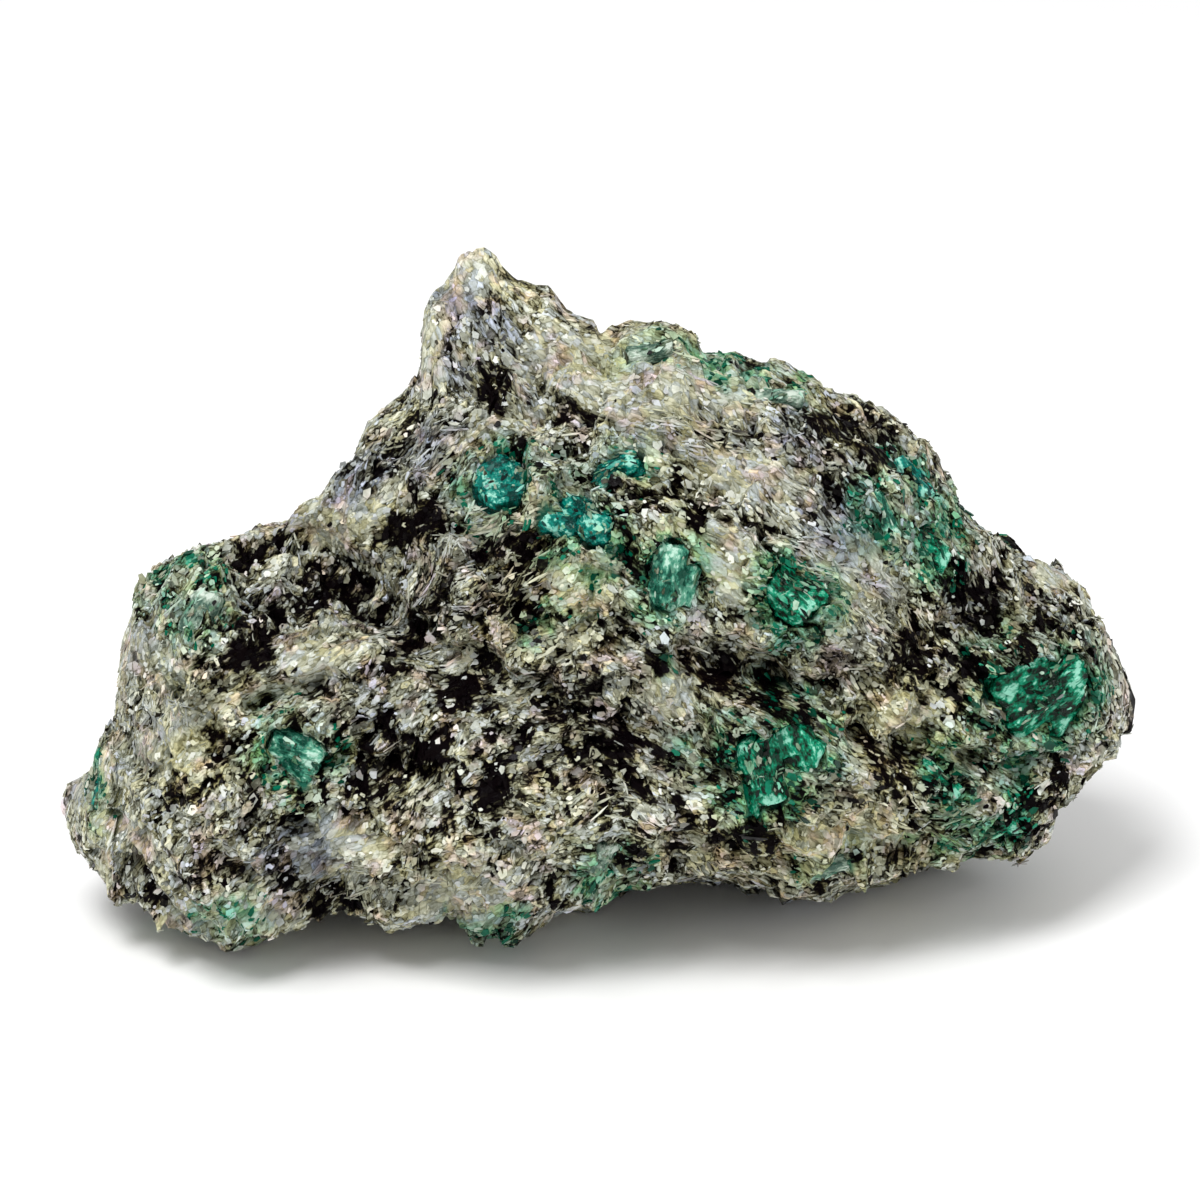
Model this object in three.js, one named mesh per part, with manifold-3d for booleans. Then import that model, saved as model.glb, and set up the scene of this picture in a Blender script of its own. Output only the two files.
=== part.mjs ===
// Emerald in matrix: a hand specimen of mica schist, broken out of its bed, with emerald crystals set in it.
// Millimetres, +Z up. The stone stands on the flat of its broken underside, and its broad face looks to -Y.
//
// The stone is described face on: x runs along it, v up its broad face and n out of that face.
// The whole is then leaned back on its underside, which is how it rests.
import * as THREE from "three";
import { mergeVertices } from "three/addons/utils/BufferGeometryUtils.js";
import Module from "manifold-3d";

// Driving dimensions
const HALF_LENGTH = 48.6; // from the middle of the stone to either tip
const LEAN = THREE.MathUtils.degToRad(22); // how far the broad face leans back from upright
const FLOOR_LEVEL = -0.5; // height of the underside, measured where the stone is described
const ROUNDING = 0.76; // 1 gives oval cross-sections, less gives squarer ones and more gives peaked ones
const BASE_ROUNDING = 0.42; // of the lower back, square enough to rest on
const MESH_DETAIL = 14; // splits of each edge of the ball that the stone is shaped from
const SEAT = 1.8; // distance around a crystal over which the stone is measured to seat it
const GAP = 0.3; // between a crystal and the pocket that it grew in
const PRISM_SIDES = 6; // beryl grows in six-sided prisms
const CHAMFER = 0.22; // of a crystal's end edges, as a share of its radius
const WELD = 1e-4; // corners closer than this are one corner

// Four rails run the length of the stone. Each point is [x, v] or [x, n].
const TOP_EDGE = [
  [-48.6, 12.5], [-48.1, 14.4], [-44.5, 16.5], [-43.4, 19.0], [-43.2, 26.7], [-41.0, 32.9],
  [-39.0, 34.8], [-35.4, 36.0], [-31.1, 37.0], [-29.1, 37.8], [-26.6, 39.3], [-25.0, 40.2],
  [-24.1, 41.8], [-22.2, 43.4], [-21.0, 47.1], [-17.5, 50.1], [-16.1, 52.5], [-15.9, 56.6],
  [-14.9, 59.4], [-14.2, 59.9], [-12.5, 62.2], [-10.6, 62.7], [-6.8, 59.9], [-4.7, 59.4],
  [-3.1, 57.5], [-0.5, 56.4], [0.0, 55.0], [2.4, 56.0], [7.1, 55.6], [8.7, 54.3], [9.2, 53.4],
  [12.2, 53.4], [13.5, 52.8], [16.8, 52.1], [21.2, 49.7], [23.4, 49.6], [26.0, 48.1], [30.7, 44.1],
  [32.1, 39.9], [34.3, 37.9], [39.1, 34.4], [40.8, 34.4], [44.0, 32.4], [45.0, 27.9], [46.0, 28.1],
  [48.6, 22.0],
];
const BOTTOM_EDGE = [
  [-48.6, 12.5], [-47.3, 8.4], [-44.4, 5.9], [-42.4, 3.9], [-41.1, 3.9], [-38.0, 1.4],
  [-33.6, 0.1], [-31.0, -0.1], [-23.1, 3.7], [-18.6, 1.6], [-14.1, 3.0], [-13.0, 3.4],
  [-10.7, 0.5], [-8.6, 1.0], [-6.6, 1.5], [-3.1, 3.3], [0.1, 4.2], [1.8, 5.3], [4.3, 5.0],
  [5.5, 5.5], [10.8, 5.6], [16.8, 4.3], [20.1, 4.4], [26.6, 5.9], [27.9, 7.1], [37.4, 8.1],
  [40.3, 9.4], [41.1, 11.1], [41.2, 12.3], [42.7, 12.9], [45.0, 16.3], [46.9, 16.6], [47.0, 18.7],
  [48.2, 19.0], [48.6, 22.0],
];
const RIM_DEPTH = [[-48.6, -2], [-30, 1], [0, 0], [30, -4], [48.6, -5]]; // where the two edges run
const FRONT = [
  [-48.6, -2], [-45, 6], [-36, 14], [-20, 16], [0, 20], [18, 19], [36, 9], [45, 2], [48.6, -5],
];
const BACK = [
  [-48.6, -2], [-45, -10], [-34, -18], [-15, -23], [8, -25], [28, -24], [41, -17], [48.6, -5],
];
const PEAKING = [ // rounding of the upper half: the horn is a peak, the dome behind the shelf an oval
  [-48.6, 0.76], [-27, 0.78], [-20, 1.2], [-12, 1.75], [-4, 1.35], [4, 1.05], [20, 0.9], [34, 0.76],
  [48.6, 0.76],
];

// Lumps and hollows of the broad face: [x, v, half width, half height, how far out].
const FACE_LUMPS = [
  [9.0, 37.0, 17, 9, 3.2], // belly of the dome
  [-37.0, 29.0, 6, 6, 3.2], // left shoulder
  [-33.0, 12.0, 8, 8, 4.2], // left foot
  [-11.5, 11.0, 9, 8, 3.8], // middle foot
  [41.0, 26.0, 6, 7, 3.0], // right nose
  [22.0, 12.5, 14, 4, 2.4], // lower right ledge
  [-24.0, 34.0, 9, 4, -4.0], // saddle between shoulder and peak
  [-20.5, 21.5, 5, 4, 2.2], // knuckle between the cleft and the feet
  [13.0, 20.0, 5, 3, 1.6], // step above the lower crystals
  [-7.0, 55.0, 7, 4, -3.5], // foot of the peak, behind the top shelf
  [-9.0, 50.0, 2.4, 3, -2.5], // dark pocket under the peak
  [24.5, 45.5, 3.5, 2, -2.2], // dark pocket on the right brow
  [33.0, 29.0, 5, 4, -2.4], // hollow before the nose
  [-19.5, 15.0, 3.5, 6, -2.8], // gully between the two feet
  [15.0, 25.0, 6, 2.5, -1.8], // hollow under the dome
];

// Clefts of the broad face: [x, v] at both ends, half width and depth.
const FACE_CLEFTS = [
  { from: [-28, 38], to: [-14, 26], width: 2.6, depth: 4.0 },
  { from: [-13, 26], to: [-4, 22], width: 2.0, depth: 3.2 },
  { from: [-2, 22], to: [9, 18], width: 1.4, depth: 2.6 },
  { from: [8, 26], to: [20, 22], width: 1.5, depth: 2.4 },
  { from: [27, 18], to: [37, 15], width: 1.4, depth: 2.2 },
  { from: [23.3, 24], to: [22.8, 18.5], width: 1.2, depth: 1.8 },
  { from: [12, 8.6], to: [31, 7.6], width: 1.2, depth: 1.8 },
  { from: [0, 53.6], to: [9, 52.8], width: 1.2, depth: 1.8 },
  { from: [-31, 22], to: [-24, 24], width: 1.2, depth: 1.8 },
];

// Lumps and hollows of the back, in the same form.
const BACK_LUMPS = [
  [-28, 26, 11, 9, 3.0],
  [-4, 40, 10, 8, 2.5],
  [20, 24, 12, 10, 3.0],
  [-12, 20, 7, 7, -3.0],
  [8, 30, 5, 9, -2.5],
  [32, 34, 6, 6, -2.0],
];

// Ledges follow the layers of the schist; smaller breaks cross them.
const LAYER_NORMAL = new THREE.Vector3(0.38, 0.8, 0.46);
const LEDGES = [
  { pitch: 10.5, height: 1.9, warp: 2.8 },
  { pitch: 5.2, height: 0.9, warp: 1.5 },
];
const LEDGE_WARP = new THREE.Vector3(0.21, 0, 0.13); // how fast the layers wander, in radians per mm
const LEDGE_TREAD = 0.82; // share of each ledge that is its slow rise; the rest is its drop
const BREAKS = [
  { wave: new THREE.Vector3(0.55, -0.2, 0.35), bend: new THREE.Vector3(-0.2, 0.45, 0.3), height: 1.0 },
  { wave: new THREE.Vector3(-0.35, 0.75, 0.6), bend: new THREE.Vector3(0.6, 0.2, -0.35), height: 0.7 },
];
const BREAK_BEND = 1.3; // how far the breaks swing to and fro, in radians
const BREAK_LEVEL = 0.6; // ridges stand above this level, valleys below it
const ROUGH_FROM = 2.5; // half depth of a section at which ledges and breaks start to show
const ROUGH_FULL = 9; // and at which they reach their full height
const RIM_ROUGH = 0.3; // share of the ledges and breaks that is left along the two edges
const RIM_FROM = 0.05; // share of the depth at which they start to grow
const RIM_FULL = 0.5; // and at which they are whole
const FACING_FROM = 0.1; // share of the depth at which lumps and clefts start to show
const FACING_FULL = 0.7; // and at which they are whole

// Emeralds. at: [x, v] on the face or the back. Each crystal is a six-sided prism [radius, length]; a second
// or third one in a cluster also has its shift [along, across, out] and its turn in degrees.
// heading is the prism's direction in the face, dip its slope out of it, proud how far it stands out.
const EMERALDS = [
  { name: "emerald_eye", at: [-9.0, 41.6], heading: 20, dip: 78, proud: 1.2, prisms: [[3.3, 7.5]] },
  {
    name: "emerald_tail", at: [-1.4, 38.6], heading: -62, dip: 8, proud: 1.2,
    prisms: [[1.8, 7.0], [1.4, 4.6, [-1.2, 2.2, 0.1], 24]],
  },
  { name: "emerald_brow", at: [1.2, 43.0], heading: 12, dip: 10, proud: 0.9, prisms: [[1.5, 5.2]] },
  {
    name: "emerald_window", at: [5.9, 33.0], heading: 84, dip: 6, proud: 1.0,
    prisms: [[2.0, 6.4], [1.2, 4.2, [-0.6, 2.0, -0.1], -9]],
  },
  {
    name: "emerald_wedge", at: [16.9, 31.6], heading: -48, dip: 16, proud: 1.3,
    prisms: [[2.1, 5.4], [1.4, 4.0, [1.0, -1.7, 0.0], 34]],
  },
  { name: "emerald_sliver", at: [25.2, 38.4], heading: -66, dip: 8, proud: 0.9, prisms: [[1.5, 5.0]] },
  { name: "emerald_spark", at: [29.7, 35.6], heading: -40, dip: 28, proud: 1.4, prisms: [[2.0, 4.6]] },
  { name: "emerald_shade", at: [28.2, 41.6], heading: -50, dip: 8, proud: 0.8, prisms: [[1.5, 4.8]] },
  {
    name: "emerald_heart", at: [14.2, 15.6], heading: -74, dip: 12, proud: 1.4,
    prisms: [[2.4, 6.8], [1.9, 5.4, [-1.4, -3.4, -0.2], 38], [1.3, 3.8, [2.9, 1.4, -0.2], -32]],
  },
  {
    name: "emerald_nose", at: [40.2, 22.4], heading: 28, dip: 10, proud: 1.6,
    prisms: [[2.8, 9.4], [2.1, 7.2, [-1.9, -3.0, -0.2], -16], [1.8, 5.8, [1.4, 2.9, -0.3], 30]],
  },
  { name: "emerald_streak", at: [30.4, 15.2], heading: -38, dip: 8, proud: 0.8, prisms: [[1.2, 5.2]] },
  { name: "emerald_heel", at: [35.4, 10.6], heading: 18, dip: 12, proud: 1.2, prisms: [[1.7, 4.6]] },
  { name: "emerald_keel", at: [20.4, 7.4], heading: 6, dip: 4, proud: 0.8, prisms: [[1.2, 4.2]] },
  { name: "emerald_toe", at: [0.4, 8.2], heading: 76, dip: 8, proud: 1.0, prisms: [[1.7, 5.2]] },
  {
    name: "emerald_pane", at: [-26.6, 17.6], heading: -22, dip: 14, proud: 1.0,
    prisms: [[1.9, 5.4], [1.2, 3.6, [0.8, 1.7, 0.0], -30]],
  },
  { name: "emerald_shoulder", at: [-35.4, 30.0], heading: 62, dip: 10, proud: 1.0, prisms: [[1.7, 5.0]] },
  { name: "emerald_tip", at: [-44.6, 14.2], heading: 64, dip: 6, proud: 1.0, prisms: [[1.1, 4.0]] },
  { name: "emerald_knob", at: [4.5, 53.0], heading: 6, dip: 10, proud: 0.8, prisms: [[1.3, 4.6]] },
  { name: "emerald_crest", at: [15.6, 49.4], heading: -18, dip: 6, proud: 0.8, prisms: [[1.3, 5.6]] },
  {
    name: "emerald_back_upper", back: true, at: [-6, 44], heading: 35, dip: 12, proud: 0.8,
    prisms: [[2.2, 6.4]],
  },
  {
    name: "emerald_back_left", back: true, at: [-30, 27], heading: -50, dip: 70, proud: 0.8,
    prisms: [[2.4, 6.0]],
  },
  {
    name: "emerald_back_middle", back: true, at: [3, 24], heading: 70, dip: 10, proud: 0.8,
    prisms: [[2.0, 6.6], [1.5, 4.8, [1.2, 2.4, -0.1], 28]],
  },
  {
    name: "emerald_back_right", back: true, at: [27, 28], heading: 15, dip: 18, proud: 0.8,
    prisms: [[2.1, 5.6]],
  },
  {
    name: "emerald_back_low", back: true, at: [19, 14], heading: -30, dip: 10, proud: 0.6,
    prisms: [[1.6, 4.8]],
  },
];

// Finishes
const schist = new THREE.MeshStandardMaterial({ color: 0x8b8c7c, roughness: 0.75, metalness: 0 });
const emerald = new THREE.MeshStandardMaterial({ color: 0x0f7a55, roughness: 0.18, metalness: 0 });

const wasm = await Module();
wasm.setup();

// The height of a rail at x, straight between its points.
function along(rail, x) {
  const next = rail.findIndex(([railX]) => railX >= x);
  if (next <= 0) return rail.at(next)[1];
  const [x0, y0] = rail[next - 1];
  const [x1, y1] = rail[next];
  return THREE.MathUtils.mapLinear(x, x0, x1, y0, y1);
}

const bell = (distance) => Math.exp(-distance * distance);

// How far the lumps stand out at (x, v): each one whole at its middle, fading over its half width and height.
function lumpsAt(lumps, x, v) {
  let sum = 0;
  for (const [x0, v0, wide, tall, out] of lumps)
    sum += out * bell(Math.hypot((x - x0) / wide, (v - v0) / tall));
  return sum;
}

// How deep the clefts of the face are at (x, v): full depth on a cleft's line, fading across its half width.
function cleftsAt(x, v) {
  const point = new THREE.Vector2(x, v);
  let deepest = 0;
  for (const { from, to, width, depth } of FACE_CLEFTS) {
    const start = new THREE.Vector2(...from);
    const run = new THREE.Vector2(...to).sub(start);
    const share = THREE.MathUtils.clamp(point.clone().sub(start).dot(run) / run.lengthSq(), 0, 1);
    const away = point.distanceTo(start.addScaledVector(run, share));
    deepest = Math.max(deepest, depth * bell(away / width));
  }
  return deepest;
}

// Ledges rise slowly along the layers and drop sharply; breaks are ridged waves across them.
function roughness(p) {
  let out = 0;
  for (const { pitch, height, warp } of LEDGES) {
    const level = (p.dot(LAYER_NORMAL) + warp * Math.sin(p.dot(LEDGE_WARP))) / pitch;
    const share = level - Math.floor(level);
    out += height * (Math.min(share / LEDGE_TREAD, (1 - share) / (1 - LEDGE_TREAD)) - 0.5);
  }
  for (const { wave, bend, height } of BREAKS)
    out += height * (BREAK_LEVEL - Math.abs(Math.sin(p.dot(wave) + BREAK_BEND * Math.sin(p.dot(bend)))));
  return out;
}

// How round a cross-section is at x, in its upper half, its lower front and its lower back.
function roundingAt(x, upper, back) {
  if (upper) return along(PEAKING, x);
  return back ? BASE_ROUNDING : ROUNDING;
}

// A point of the stone's surface as (x, v, n). turn goes round a cross-section: 0 at the top edge, a quarter
// turn at the front, half a turn at the bottom edge.
function onStone(x, turn) {
  const top = along(TOP_EDGE, x);
  const bottom = along(BOTTOM_EDGE, x);
  const rim = along(RIM_DEPTH, x);
  const rounding = roundingAt(x, Math.cos(turn) > 0, Math.sin(turn) < 0);
  const rounded = (value) => Math.sign(value) * Math.abs(value) ** rounding;
  const up = rounded(Math.cos(turn));
  const out = rounded(Math.sin(turn));
  const middle = (top + bottom) / 2;
  const depth = out > 0 ? along(FRONT, x) - rim : rim - along(BACK, x);
  const point = new THREE.Vector3(x, middle + (up * (top - bottom)) / 2, rim + out * depth);

  const facing = THREE.MathUtils.smoothstep(Math.abs(out), FACING_FROM, FACING_FULL);
  const relief = out > 0
    ? lumpsAt(FACE_LUMPS, x, point.y) - cleftsAt(x, point.y)
    : lumpsAt(BACK_LUMPS, x, point.y);
  const outwards = new THREE.Vector3(0, point.y - middle, point.z - rim).normalize();
  const offRim = THREE.MathUtils.smoothstep(Math.abs(out), RIM_FROM, RIM_FULL);
  const calm = THREE.MathUtils.lerp(RIM_ROUGH, 1, offRim);
  const rough = THREE.MathUtils.smoothstep(depth, ROUGH_FROM, ROUGH_FULL) * calm * roughness(point);
  point.z += Math.sign(out) * facing * relief;
  return point.addScaledVector(outwards, rough);
}

// The turn at which the stone's plain cross-section passes height v, on its front or its back.
function turnAt(x, v, back) {
  const top = along(TOP_EDGE, x);
  const bottom = along(BOTTOM_EDGE, x);
  const up = THREE.MathUtils.clamp((2 * v - top - bottom) / (top - bottom), -1, 1);
  const rounding = roundingAt(x, up > 0, back);
  const turn = Math.acos(Math.sign(up) * Math.abs(up) ** (1 / rounding));
  return back ? -turn : turn;
}

// From the described frame to the leaned one.
const leaned = new THREE.Matrix4().makeBasis(
  new THREE.Vector3(1, 0, 0),
  new THREE.Vector3(0, Math.sin(LEAN), Math.cos(LEAN)),
  new THREE.Vector3(0, -Math.cos(LEAN), Math.sin(LEAN)),
);

// Booleans work on closed meshes that hold positions alone.
function solid(geometry) {
  const bare = geometry.clone();
  for (const name of Object.keys(bare.attributes)) if (name !== "position") bare.deleteAttribute(name);
  const merged = mergeVertices(bare, WELD);
  return new wasm.Manifold(
    new wasm.Mesh({
      numProp: 3,
      vertProperties: new Float32Array(merged.attributes.position.array),
      triVerts: new Uint32Array(merged.index.array),
    }),
  );
}

function geometryOf(manifold) {
  const { vertProperties, triVerts } = manifold.getMesh();
  const geometry = new THREE.BufferGeometry();
  geometry.setAttribute("position", new THREE.BufferAttribute(vertProperties, 3));
  geometry.setIndex(new THREE.BufferAttribute(triVerts, 1));
  geometry.computeVertexNormals();
  return geometry;
}

// The body of schist: an even ball whose points are carried out to the stone's surface, cut off flat below.
function schistBody() {
  const ball = new THREE.IcosahedronGeometry(1, MESH_DETAIL);
  const points = ball.getAttribute("position");
  const direction = new THREE.Vector3();
  for (let i = 0; i < points.count; i++) {
    direction.fromBufferAttribute(points, i).normalize();
    const turn = Math.atan2(direction.z, direction.y);
    const point = onStone(HALF_LENGTH * direction.x, turn).applyMatrix4(leaned);
    points.setXYZ(i, point.x, point.y, point.z);
  }
  const depth = 4 * HALF_LENGTH;
  const ground = new THREE.BoxGeometry(depth, depth, depth);
  ground.translate(0, 0, FLOOR_LEVEL - depth / 2);
  return solid(ball).subtract(solid(ground));
}

// One six-sided prism of beryl along +Y, its ends chamfered, grown by margin on every side.
function prism([radius, length, shift = [0, 0, 0], turn = 0], margin) {
  const r = radius + margin;
  const half = length / 2 + margin;
  const chamfer = CHAMFER * radius;
  const profile = [
    new THREE.Vector2(0, -half),
    new THREE.Vector2(r - chamfer, -half),
    new THREE.Vector2(r, chamfer - half),
    new THREE.Vector2(r, half - chamfer),
    new THREE.Vector2(r - chamfer, half),
    new THREE.Vector2(0, half),
  ];
  const [forward, across, out] = shift;
  return new THREE.LatheGeometry(profile, PRISM_SIDES)
    .rotateZ(THREE.MathUtils.degToRad(turn))
    .translate(across, forward, out);
}

const cluster = (prisms, margin) =>
  prisms.map((one) => solid(prism(one, margin))).reduce((whole, next) => whole.add(next));

// A crystal in its pocket: it points along its heading and dip, and its outermost corner stands proud of the
// mean of the stone around it.
function emeraldMesh({ name, at: [x, v], back = false, heading, dip, proud, prisms }) {
  const stoneAt = (atX, atV) => onStone(atX, turnAt(atX, atV, back)).applyMatrix4(leaned);
  const right = stoneAt(x + SEAT, v);
  const left = stoneAt(x - SEAT, v);
  const upper = stoneAt(x, v + SEAT);
  const lower = stoneAt(x, v - SEAT);
  const around = [stoneAt(x, v), right, left, upper, lower];
  const here = around.reduce((sum, point) => sum.add(point), new THREE.Vector3()).divideScalar(around.length);
  const normal = right.clone().sub(left).cross(upper.clone().sub(lower)).normalize();
  if (back) normal.negate();
  const side = new THREE.Vector3(1, 0, 0).addScaledVector(normal, -normal.x).normalize();
  const rise = normal.clone().cross(side);

  const [yaw, pitch] = [heading, dip].map(THREE.MathUtils.degToRad);
  const axis = side.clone().multiplyScalar(Math.cos(yaw)).addScaledVector(rise, Math.sin(yaw));
  axis.multiplyScalar(Math.cos(pitch)).addScaledVector(normal, Math.sin(pitch));
  const outer = normal.clone().addScaledVector(axis, -normal.dot(axis)).normalize();
  const mesh = new THREE.Mesh(geometryOf(cluster(prisms, 0)), emerald);
  mesh.name = name;
  const placed = new THREE.Matrix4().makeBasis(axis.clone().cross(outer), axis, outer);
  mesh.quaternion.setFromRotationMatrix(placed);

  const corners = mesh.geometry.getAttribute("position");
  const corner = new THREE.Vector3();
  let reach = 0;
  for (let i = 0; i < corners.count; i++) {
    corner.fromBufferAttribute(corners, i).applyQuaternion(mesh.quaternion);
    reach = Math.max(reach, corner.dot(normal));
  }
  mesh.position.copy(here).addScaledVector(normal, proud - reach);
  mesh.updateMatrix();
  return mesh;
}

const crystals = EMERALDS.map(emeraldMesh);
const matrix = new THREE.Mesh(undefined, schist);
matrix.name = "matrix";
matrix.geometry = geometryOf(
  crystals.reduce(
    (body, crystal, i) =>
      body.subtract(solid(geometryOf(cluster(EMERALDS[i].prisms, GAP)).applyMatrix4(crystal.matrix))),
    schistBody(),
  ),
);

// The origin is under the middle of the stone, on the surface that it rests on.
const specimen = new THREE.Group();
specimen.name = "emerald_in_matrix";
specimen.add(matrix, ...crystals);
const box = new THREE.Box3().setFromObject(specimen, true);
const middle = box.getCenter(new THREE.Vector3());
specimen.position.set(-middle.x, -middle.y, -box.min.z);

export default specimen;
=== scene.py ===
# %% [markdown]
# # Emerald in matrix
# A hand specimen of mica schist with emerald crystals in it. The packed model is loaded first, because every
# piece made here lies on it, in metres and in the same frame.

import bpy
import numpy as np
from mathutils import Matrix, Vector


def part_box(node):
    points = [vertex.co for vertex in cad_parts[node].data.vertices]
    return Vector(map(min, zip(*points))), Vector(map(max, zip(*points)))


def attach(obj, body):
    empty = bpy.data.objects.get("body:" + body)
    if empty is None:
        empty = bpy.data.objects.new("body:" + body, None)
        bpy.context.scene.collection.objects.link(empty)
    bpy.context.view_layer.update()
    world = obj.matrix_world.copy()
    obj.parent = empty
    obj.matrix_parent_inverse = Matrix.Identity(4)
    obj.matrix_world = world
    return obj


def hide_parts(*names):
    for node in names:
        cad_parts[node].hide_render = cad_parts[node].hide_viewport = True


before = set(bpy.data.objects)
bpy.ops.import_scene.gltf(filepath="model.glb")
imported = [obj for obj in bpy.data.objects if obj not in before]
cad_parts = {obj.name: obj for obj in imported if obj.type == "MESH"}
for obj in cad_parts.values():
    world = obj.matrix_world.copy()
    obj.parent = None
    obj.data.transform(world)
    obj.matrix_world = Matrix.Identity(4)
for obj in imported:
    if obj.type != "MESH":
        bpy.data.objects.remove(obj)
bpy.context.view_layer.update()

# %% [markdown]
# ## How the stone is described
# The stone is easiest to describe face on: x runs along it, v up its broad face and n out of that face, all
# in millimetres. It then leans back on its underside. Four rails run its length, the top and bottom edges and
# the front and back, and each cross-section is a rounded box drawn between them. A sculpted mesh would give
# no such handles; with rails every later layer, from lumps to mica scales, can ask the same function where
# the stone is.

# %% Rails of the stone
HALF_LENGTH = 48.6
LEAN = np.radians(22)
SHIFT = np.array([0.0, -11.777, 0.5])  # from the described place to the row's origin
ROUNDING = 0.76  # 1 gives oval cross-sections, less squarer ones, more peaked ones
BASE_ROUNDING = 0.42  # of the lower back, which the stone rests on

TOP_EDGE = [
    (-48.6, 12.5), (-48.1, 14.4), (-44.5, 16.5), (-43.4, 19), (-43.2, 26.7), (-41, 32.9), (-39, 34.8),
    (-35.4, 36), (-31.1, 37), (-29.1, 37.8), (-26.6, 39.3), (-25, 40.2), (-24.1, 41.8), (-22.2, 43.4),
    (-21, 47.1), (-17.5, 50.1), (-16.1, 52.5), (-15.9, 56.6), (-14.9, 59.4), (-14.2, 59.9), (-12.5, 62.2),
    (-10.6, 62.7), (-6.8, 59.9), (-4.7, 59.4), (-3.1, 57.5), (-0.5, 56.4), (0, 55), (2.4, 56),
    (7.1, 55.6), (8.7, 54.3), (9.2, 53.4), (12.2, 53.4), (13.5, 52.8), (16.8, 52.1), (21.2, 49.7),
    (23.4, 49.6), (26, 48.1), (30.7, 44.1), (32.1, 39.9), (34.3, 37.9), (39.1, 34.4), (40.8, 34.4),
    (44, 32.4), (45, 27.9), (46, 28.1), (48.6, 22),
]
BOTTOM_EDGE = [
    (-48.6, 12.5), (-47.3, 8.4), (-44.4, 5.9), (-42.4, 3.9), (-41.1, 3.9), (-38, 1.4), (-33.6, 0.1),
    (-31, -0.1), (-23.1, 3.7), (-18.6, 1.6), (-14.1, 3), (-13, 3.4), (-10.7, 0.5), (-8.6, 1),
    (-6.6, 1.5), (-3.1, 3.3), (0.1, 4.2), (1.8, 5.3), (4.3, 5), (5.5, 5.5), (10.8, 5.6), (16.8, 4.3),
    (20.1, 4.4), (26.6, 5.9), (27.9, 7.1), (37.4, 8.1), (40.3, 9.4), (41.1, 11.1), (41.2, 12.3),
    (42.7, 12.9), (45, 16.3), (46.9, 16.6), (47, 18.7), (48.2, 19), (48.6, 22),
]
RIM_DEPTH = [(-48.6, -2), (-30, 1), (0, 0), (30, -4), (48.6, -5)]
FRONT = [(-48.6, -2), (-45, 6), (-36, 14), (-20, 16), (0, 20), (18, 19), (36, 9), (45, 2), (48.6, -5)]
BACK = [(-48.6, -2), (-45, -10), (-34, -18), (-15, -23), (8, -25), (28, -24), (41, -17), (48.6, -5)]
PEAKING = [
    (-48.6, 0.76), (-27, 0.78), (-20, 1.2), (-12, 1.75), (-4, 1.35), (4, 1.05), (20, 0.9), (34, 0.76),
    (48.6, 0.76),
]


def along(rail, x):
    """The height of a rail at x: straight lines between its points."""
    return np.interp(x, *np.array(rail, float).T)


print("rails:", len(TOP_EDGE), "points above,", len(BOTTOM_EDGE), "below")

# %% [markdown]
# ## Lumps, clefts, ledges and breaks
# On the real stone the broad face swells into a dome, two feet, a shoulder and a nose, with dark clefts
# between them. Lumps are bells, high in the middle and fading outwards. Clefts are the same bell across a
# line. The layers of the schist break into ledges, slow rises with a sharp drop, and smaller breaks cross
# them. Painted shading would look right from one side only, so all of this is shape.

# %% Relief values
FACE_LUMPS = [  # x, v, half width, half height, how far out
    (9, 37, 17, 9, 3.2), (-37, 29, 6, 6, 3.2), (-33, 12, 8, 8, 4.2), (-11.5, 11, 9, 8, 3.8),
    (41, 26, 6, 7, 3), (22, 12.5, 14, 4, 2.4), (-24, 34, 9, 4, -4), (-20.5, 21.5, 5, 4, 2.2),
    (13, 20, 5, 3, 1.6), (-7, 55, 7, 4, -3.5), (-9, 50, 2.4, 3, -2.5),
    (24.5, 45.5, 3.5, 2, -2.2), (33, 29, 5, 4, -2.4), (-19.5, 15, 3.5, 6, -2.8),
    (15, 25, 6, 2.5, -1.8),
]
BACK_LUMPS = [
    (-28, 26, 11, 9, 3.0), (-4, 40, 10, 8, 2.5), (20, 24, 12, 10, 3.0), (-12, 20, 7, 7, -3.0),
    (8, 30, 5, 9, -2.5), (32, 34, 6, 6, -2.0),
]
FACE_CLEFTS = [  # from x, v, to x, v, half width, depth
    (-28, 38, -14, 26, 2.6, 4.0), (-13, 26, -4, 22, 2.0, 3.2), (-2, 22, 9, 18, 1.4, 2.6),
    (8, 26, 20, 22, 1.5, 2.4), (27, 18, 37, 15, 1.4, 2.2), (23.3, 24, 22.8, 18.5, 1.2, 1.8),
    (12, 8.6, 31, 7.6, 1.2, 1.8), (0, 53.6, 9, 52.8, 1.2, 1.8), (-31, 22, -24, 24, 1.2, 1.8),
]
LAYER_NORMAL = np.array([0.38, 0.8, 0.46])
LEDGES = [(10.5, 1.9, 2.8), (5.2, 0.9, 1.5)]  # pitch, height, how far the layers wander
LEDGE_WARP = np.array([0.21, 0.0, 0.13])
LEDGE_TREAD = 0.82  # share of a ledge that is its slow rise
BREAKS = [((0.55, -0.2, 0.35), (-0.2, 0.45, 0.3), 1.0), ((-0.35, 0.75, 0.6), (0.6, 0.2, -0.35), 0.7)]
BREAK_BEND, BREAK_LEVEL = 1.3, 0.6
ROUGH_FROM, ROUGH_FULL = 2.5, 9
RIM_ROUGH, RIM_FROM, RIM_FULL = 0.3, 0.05, 0.5  # along the edges the layers show less
FACING_FROM, FACING_FULL = 0.1, 0.7
print("relief:", len(FACE_LUMPS), "lumps and", len(FACE_CLEFTS), "clefts on the face")

# %% [markdown]
# ## Relief as formulas
# Each kind of relief is one formula over whole arrays of places, so that the mesh, the seats of the crystals
# and the scales all ask the same functions and agree.

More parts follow.
